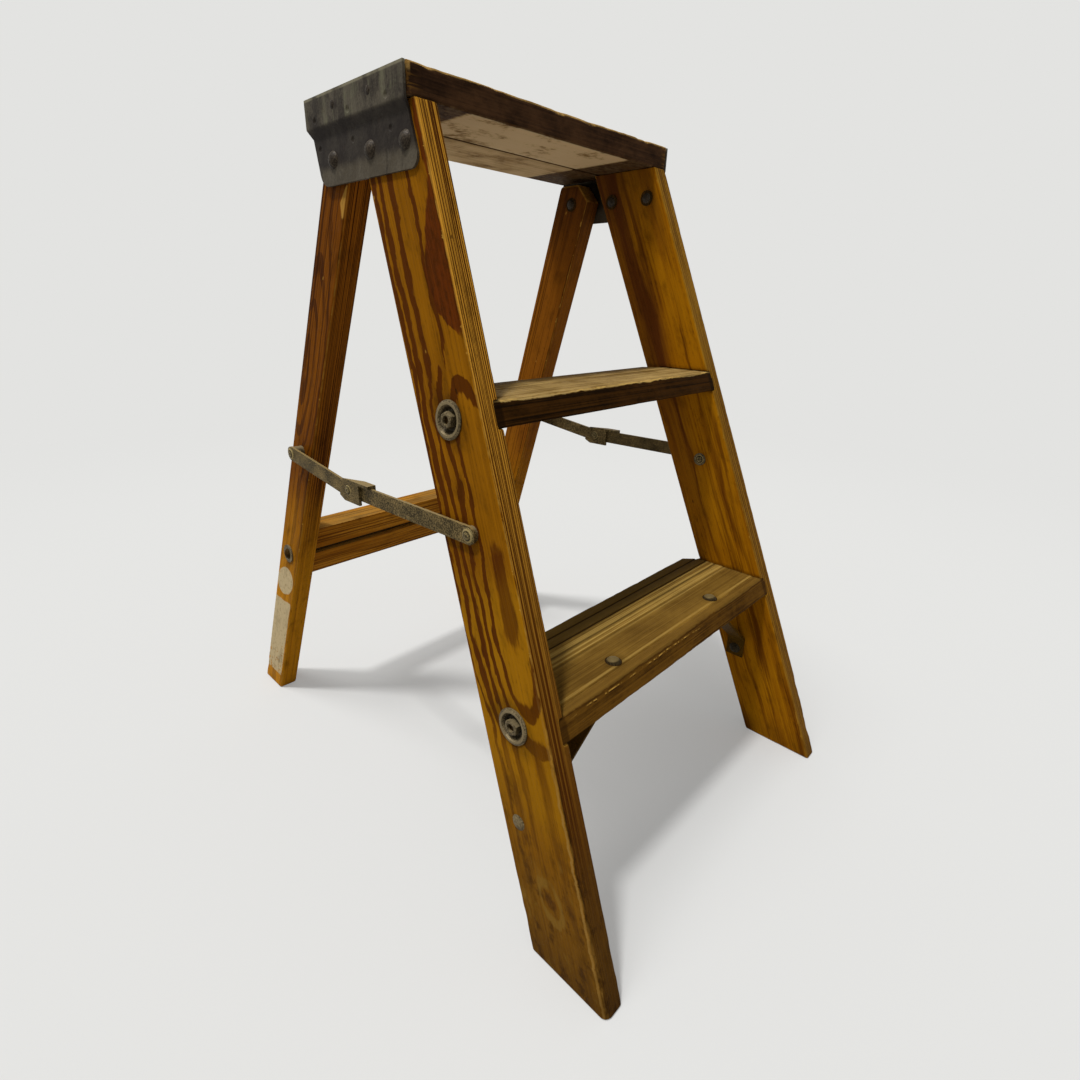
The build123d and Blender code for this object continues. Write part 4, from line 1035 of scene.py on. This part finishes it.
def dress_fittings():
    """Finish every steel piece."""
    steels = {kind: dull_steel(f"{kind}_steel", *row) for kind, row in STEELS.items()}
    for part in frame["record"]["subparts"]:
        kind = SLOT_FINISH.get(part["material_slot"])
        if kind:
            dress(part["node"], steels[kind])
    dress_pivots()
    bracket = bracket_steel()
    for side in ("left", "right"):
        dress(f"{side}_bracket", bracket)
        dress(f"{side}_bracket_washers", steels["sooty"])
    dress("lower_cup_washers", steels["cup"])
    dress("upper_cup_washers", steels["cup"])
    dress("brace_bolts", steels["bolt"])
    dress("brace_rivets", steels["brace_rivet"])
    dress("hinge_inner_washers", steels["sooty"])


def dress_boards():
    """Finish every board."""
    leg = leg_varnish()
    dress("left_rear_leg", leg)
    dress("right_rear_leg", leg)
    dress("left_rail", left_rail_varnish())
    dress("right_rail", right_rail_varnish())
    dress("rear_cross_rail", cross_rail_varnish())
    dress("lower_step", lower_tread_wood())
    dress("upper_step", upper_tread_wood())
    dress("top_board", top_wood())


# Worn boards

GRAIN_SQUEEZE = 0.4
WELD_GAP = 0.01
SHARP_ANGLE = math.radians(40)
CHIP_PITCHES = ((61.0, 0.4), (19.0, 0.35), (6.0, 0.35))
CHIP_RARITY = 2.5
FOOT_PITCH = 9.0
FOOT_REACH = 140
FACE_WEAR = 1.15


class Wear(NamedTuple):
    """Wear of a board: arrises, radius of its ends, share of faces kept, mesh size, radius of corners."""
    arrises: tuple
    ends: float
    keep: float = 0.22
    voxel: float = 1.0
    corner: float = 0.0


# Radius, chips and foot wear of a rail's or leg's arrises: front outer, front inner, rear outer, rear inner
RAIL_ARRISES = ((0.6, 1.6, 3.6), (0.6, 1.0, 1.5), (0.6, 0.8, 1.5), (0.6, 0.7, 1.0))
LEG_ARRISES = ((0.7, 0.9, 1.5), (0.7, 0.7, 1.0), (0.7, 0.9, 1.5), (0.6, 0.7, 1.0))
RAIL_WEAR = Wear(RAIL_ARRISES, 1.2)
LEG_WEAR = Wear(LEG_ARRISES, 1.4)

# The same of a tread or the top: front lower, front upper, rear lower, rear upper
TREAD_ARRISES = ((0.8, 0.8, 0), (0.9, 2.0, 0), (0.7, 0.5, 0), (0.8, 1.0, 0))
TOP_ARRISES = ((0.8, 1.0, 0), (1.1, 2.4, 0), (0.8, 1.0, 0), (1.1, 2.0, 0))
TREAD_WEAR = Wear(TREAD_ARRISES, 0.5, 0.3, 0.7)
TOP_WEAR = Wear(TOP_ARRISES, 1.5, 0.25, 0.8, 5.0)


def lined_up(x_line, y_line, z_line):
    """Matrix from the stool's metres to a board's own lines in millimetres."""
    return Matrix((x_line, y_line, z_line, (0, 0, 0, 1))) @ Matrix.Scale(MM, 4)


def ragged(along, arris, seed):
    """Radius of an arris along a board, with chips, and more wear at the foot."""
    draw = np.random.default_rng(seed)
    base, chips, foot = arris
    radius = np.full(len(along), base)
    for pitch, share in CHIP_PITCHES:
        knots = np.arange(along.min() - pitch, along.max() + 2 * pitch, pitch)
        radius += chips * share * np.interp(along, knots, draw.random(len(knots)) ** CHIP_RARITY) * 2
    knots = np.arange(along.min() - FOOT_PITCH, along.max() + 2 * FOOT_PITCH, FOOT_PITCH)
    uneven = np.interp(along, knots, draw.random(len(knots)))
    return radius + foot * np.clip(1 - along / FOOT_REACH, 0, 1) * (0.4 + uneven)


def round_corners(gap, corner):
    """Round the upright corners of a board, given as distances from its faces."""
    push = np.maximum(1 - gap[:, [0, 2]] / corner, 0)
    size = np.linalg.norm(push, axis=1)
    over = (size > 1) & (push > 0).all(axis=1)
    gap[np.ix_(over, [0, 2])] = (1 - push[over] / size[over, None]) * corner


def wear_down(points, low, high, wear, seed):
    """Round the long arrises of a board raggedly, its ends evenly and its upright corners widely."""
    middle = (low + high) / 2
    half = (high - low) / 2
    side = np.where(points < middle, -1.0, 1.0)
    gap = np.maximum(half - np.abs(points - middle), 0)
    if wear.corner:
        round_corners(gap, wear.corner)
        points = middle + side * (half - gap)
    place = (side[:, 0] > 0) * 2 + (side[:, 1] > 0)
    radius = np.full(points.shape, wear.ends)
    for index, arris in enumerate(wear.arrises):
        here = place == index
        radius[here, 0] = ragged(points[here, 2], arris, seed + index)
        radius[here, 1] = radius[here, 0] * FACE_WEAR
    push = np.maximum(1 - gap / radius, 0)
    size = np.linalg.norm(push, axis=1)
    over = size > 1
    push[over] /= size[over, None]
    worn = np.where(push > 0, (1 - push) * radius, gap)
    return middle + side * (half - worn)


def work_out(piece):
    """Turn a piece's modifiers into its mesh."""
    bpy.context.view_layer.update()
    mesh = bpy.data.meshes.new_from_object(piece.evaluated_get(bpy.context.evaluated_depsgraph_get()))
    piece.modifiers.clear()
    piece.data = mesh
    return mesh


def worn_board(node, body, fit, span, wear, seed):
    """Stand a board with chipped arrises in for a plain one, cut from the plain one's own mesh."""
    squeeze = Matrix.Diagonal((1, 1, GRAIN_SQUEEZE, 1)) @ fit
    mesh = frame["nodes"][node].data.copy()
    mesh.transform(squeeze)
    piece = bpy.data.objects.new(f"worn_{node}", mesh)
    bpy.context.scene.collection.objects.link(piece)
    weld = piece.modifiers.new("weld", "WELD")
    weld.merge_threshold = WELD_GAP
    remesh = piece.modifiers.new("remesh", "REMESH")
    remesh.mode = "VOXEL"
    remesh.voxel_size = wear.voxel
    mesh = work_out(piece)
    flat = np.empty(len(mesh.vertices) * 3)
    mesh.vertices.foreach_get("co", flat)
    points = flat.reshape(-1, 3) / (1, 1, GRAIN_SQUEEZE)
    points = wear_down(points, np.array(span[0]), np.array(span[1]), wear, seed)
    mesh.vertices.foreach_set("co", (points * (1, 1, GRAIN_SQUEEZE)).ravel())
    thin = piece.modifiers.new("thin", "DECIMATE")
    thin.ratio = wear.keep
    mesh = work_out(piece)
    mesh.transform(squeeze.inverted())
    mesh.polygons.foreach_set("use_smooth", [True] * len(mesh.polygons))
    mesh.set_sharp_from_angle(angle=SHARP_ANGLE)
    normals = piece.modifiers.new("normals", "WEIGHTED_NORMAL")
    normals.keep_sharp = True
    mesh.materials.clear()
    mesh.materials.append(frame["nodes"][node].material_slots[0].material)
    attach(piece, body)
    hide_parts(node)


def rail_fit(side):
    """Lines of a rail: distance behind its front edge, depth below its outer face, height."""
    return lined_up((0, 1, -RAIL_LEAN, -FRONT_FOOT), (-side, 0, -RAIL_SPLAY, HALF_SPREAD), (0, 0, 1, 0))


def leg_fit(side):
    """Lines of a leg: distance behind its front edge, depth below its outer face, height."""
    front = HINGE_Z * LEG_LEAN + HINGE_Y - LEG_DEPTH / 2
    return lined_up((0, 1, LEG_LEAN, -front), (-side, 0, -LEG_SPLAY, LEG_HALF_SPREAD), (0, 0, 1, 0))


def level_fit(lean, front):
    """Lines of a tread or the top: distance behind its front edge, height, place along it."""
    return lined_up((0, 1, -lean, -front), (0, 0, 1, 0), (1, 0, 0, 0))


def tread_span(top, depth):
    """Lowest and highest corner of a tread in its own lines."""
    return (0, top - STEP_THICKNESS, -HALF_SPREAD), (depth, top, HALF_SPREAD)


def wear_boards():
    """Stand worn boards in for the plain ones."""
    rail_span = ((0, 0, 0), (RAIL_DEPTH, RAIL_THICKNESS, TOP_UNDER))
    leg_span = ((0, 0, 0), (LEG_DEPTH, LEG_THICKNESS, HEIGHT))
    for name, side, seed in (("left", -1, 100), ("right", 1, 110)):
        fit = rail_fit(side)
        worn_board(f"{name}_rail", "front_frame", fit, rail_span, RAIL_WEAR, seed)
        fit = leg_fit(side)
        worn_board(f"{name}_rear_leg", "rear_frame", fit, leg_span, LEG_WEAR, seed + 5)
    fit = level_fit(RAIL_LEAN, FRONT_FOOT)
    span = tread_span(LOWER_TREAD, LOWER_DEPTH)
    worn_board("lower_step", "front_frame", fit, span, TREAD_WEAR, seed=140)
    span = tread_span(UPPER_TREAD, UPPER_DEPTH)
    worn_board("upper_step", "front_frame", fit, span, TREAD_WEAR, seed=150)
    fit = level_fit(0, TOP_FRONT)
    span = ((0, TOP_UNDER, -TOP_LENGTH / 2), (TOP_DEPTH, HEIGHT, TOP_LENGTH / 2))
    worn_board("top_board", "front_frame", fit, span, TOP_WEAR, seed=170)


# Studio


def seen_directly(nodes):
    """1 for rays from the camera, from gloss and through clear things."""
    path = nodes.node("ShaderNodeLightPath", {}, {}, "Is Camera Ray")
    return path.most(path.output("Is Glossy Ray")).most(path.output("Is Transmission Ray"))


def floor_paper():
    """Pale floor finish that fades into the backdrop away from the stool."""
    paint = Paint("floor_paper", specular=0.0)
    x, y = paint.place()[:2]
    away = distance(x, y) / MM
    seen = seen_directly(paint)
    glow = paint.node("ShaderNodeEmission", {}, {"Color": BACKDROP, "Strength": 1.0})
    share = (away.rise(*FLOOR_FADE) * (1 - FLOOR_HAZE) + FLOOR_HAZE) * seen
    paint.ground(FLOOR_BOUNCE, FLOOR, seen)
    paint.finish(roughness=FLOOR_ROUGHNESS)
    plain = Wire(paint, paint.shader.outputs[0])
    both = paint.node("ShaderNodeMixShader", {}, {0: share, 1: plain, 2: glow})
    paint.plug(paint.tree.nodes["Material Output"].inputs["Surface"], both)
    return paint.material


def studio_floor():
    """Floor under the stool."""
    half = FLOOR_SIZE / 2
    outline = [(-half, -half, 0), (half, -half, 0), (half, half, 0), (-half, half, 0)]
    mesh = bpy.data.meshes.new("floor")
    mesh.from_pydata(outline, [], [(0, 1, 2, 3)])
    floor = bpy.data.objects.new("floor", mesh)
    bpy.context.scene.collection.objects.link(floor)
    mesh.materials.append(floor_paper())


def studio_room():
    """Even room light, seen directly as the backdrop."""
    world = bpy.data.worlds.new("room")
    world.use_nodes = True
    bpy.context.scene.world = world
    nodes = Nodes(world.node_tree)
    soft = nodes.node("ShaderNodeBackground", {}, {"Color": ROOM_WHITE, "Strength": ROOM_STRENGTH})
    pale = nodes.node("ShaderNodeBackground", {}, {"Color": BACKDROP, "Strength": 1.0})
    both = nodes.node("ShaderNodeMixShader", {}, {0: seen_directly(nodes), 1: soft, 2: pale})
    nodes.plug(nodes.tree.nodes["World Output"].inputs["Surface"], both)


def studio_lamps():
    """Light from overhead, a little to the left, and wider soft light from the rear left."""
    sun = ("sun", SUN_TRAVEL, SUN_STRENGTH, SUN_SOFTNESS)
    fill = ("fill", FILL_TRAVEL, FILL_STRENGTH, FILL_SOFTNESS)
    for name, travel, strength, softness in (sun, fill):
        lamp = bpy.data.lights.new(name, "SUN")
        lamp.energy = strength
        lamp.angle = softness
        piece = bpy.data.objects.new(name, lamp)
        piece.rotation_mode = "QUATERNION"
        piece.rotation_quaternion = travel.to_track_quat("-Z", "Y")
        bpy.context.scene.collection.objects.link(piece)


def studio_camera():
    """Camera at the front left, looking a little down."""
    ahead = Vector((-math.sin(YAW) * math.cos(PITCH), math.cos(YAW) * math.cos(PITCH), math.sin(PITCH)))
    level = Vector((math.cos(YAW), math.sin(YAW), 0))
    upright = level.cross(ahead)
    right = math.cos(ROLL) * level + math.sin(ROLL) * upright
    up = math.cos(ROLL) * upright - math.sin(ROLL) * level
    lens = bpy.data.cameras.new("camera")
    lens.sensor_width = SENSOR
    lens.lens = LENS
    lens.shift_x = SHIFT_X
    lens.shift_y = SHIFT_Y
    lens.clip_start = CLIP_START
    camera = bpy.data.objects.new("camera", lens)
    turn = Matrix((right, up, -ahead)).transposed().to_4x4()
    camera.matrix_world = Matrix.Translation(EYE) @ turn
    bpy.context.scene.collection.objects.link(camera)
    bpy.context.scene.camera = camera


bpy.context.scene.view_settings.view_transform = "Standard"
dress_fittings()
dress_boards()
wear_boards()
studio_floor()
studio_room()
studio_lamps()
studio_camera()
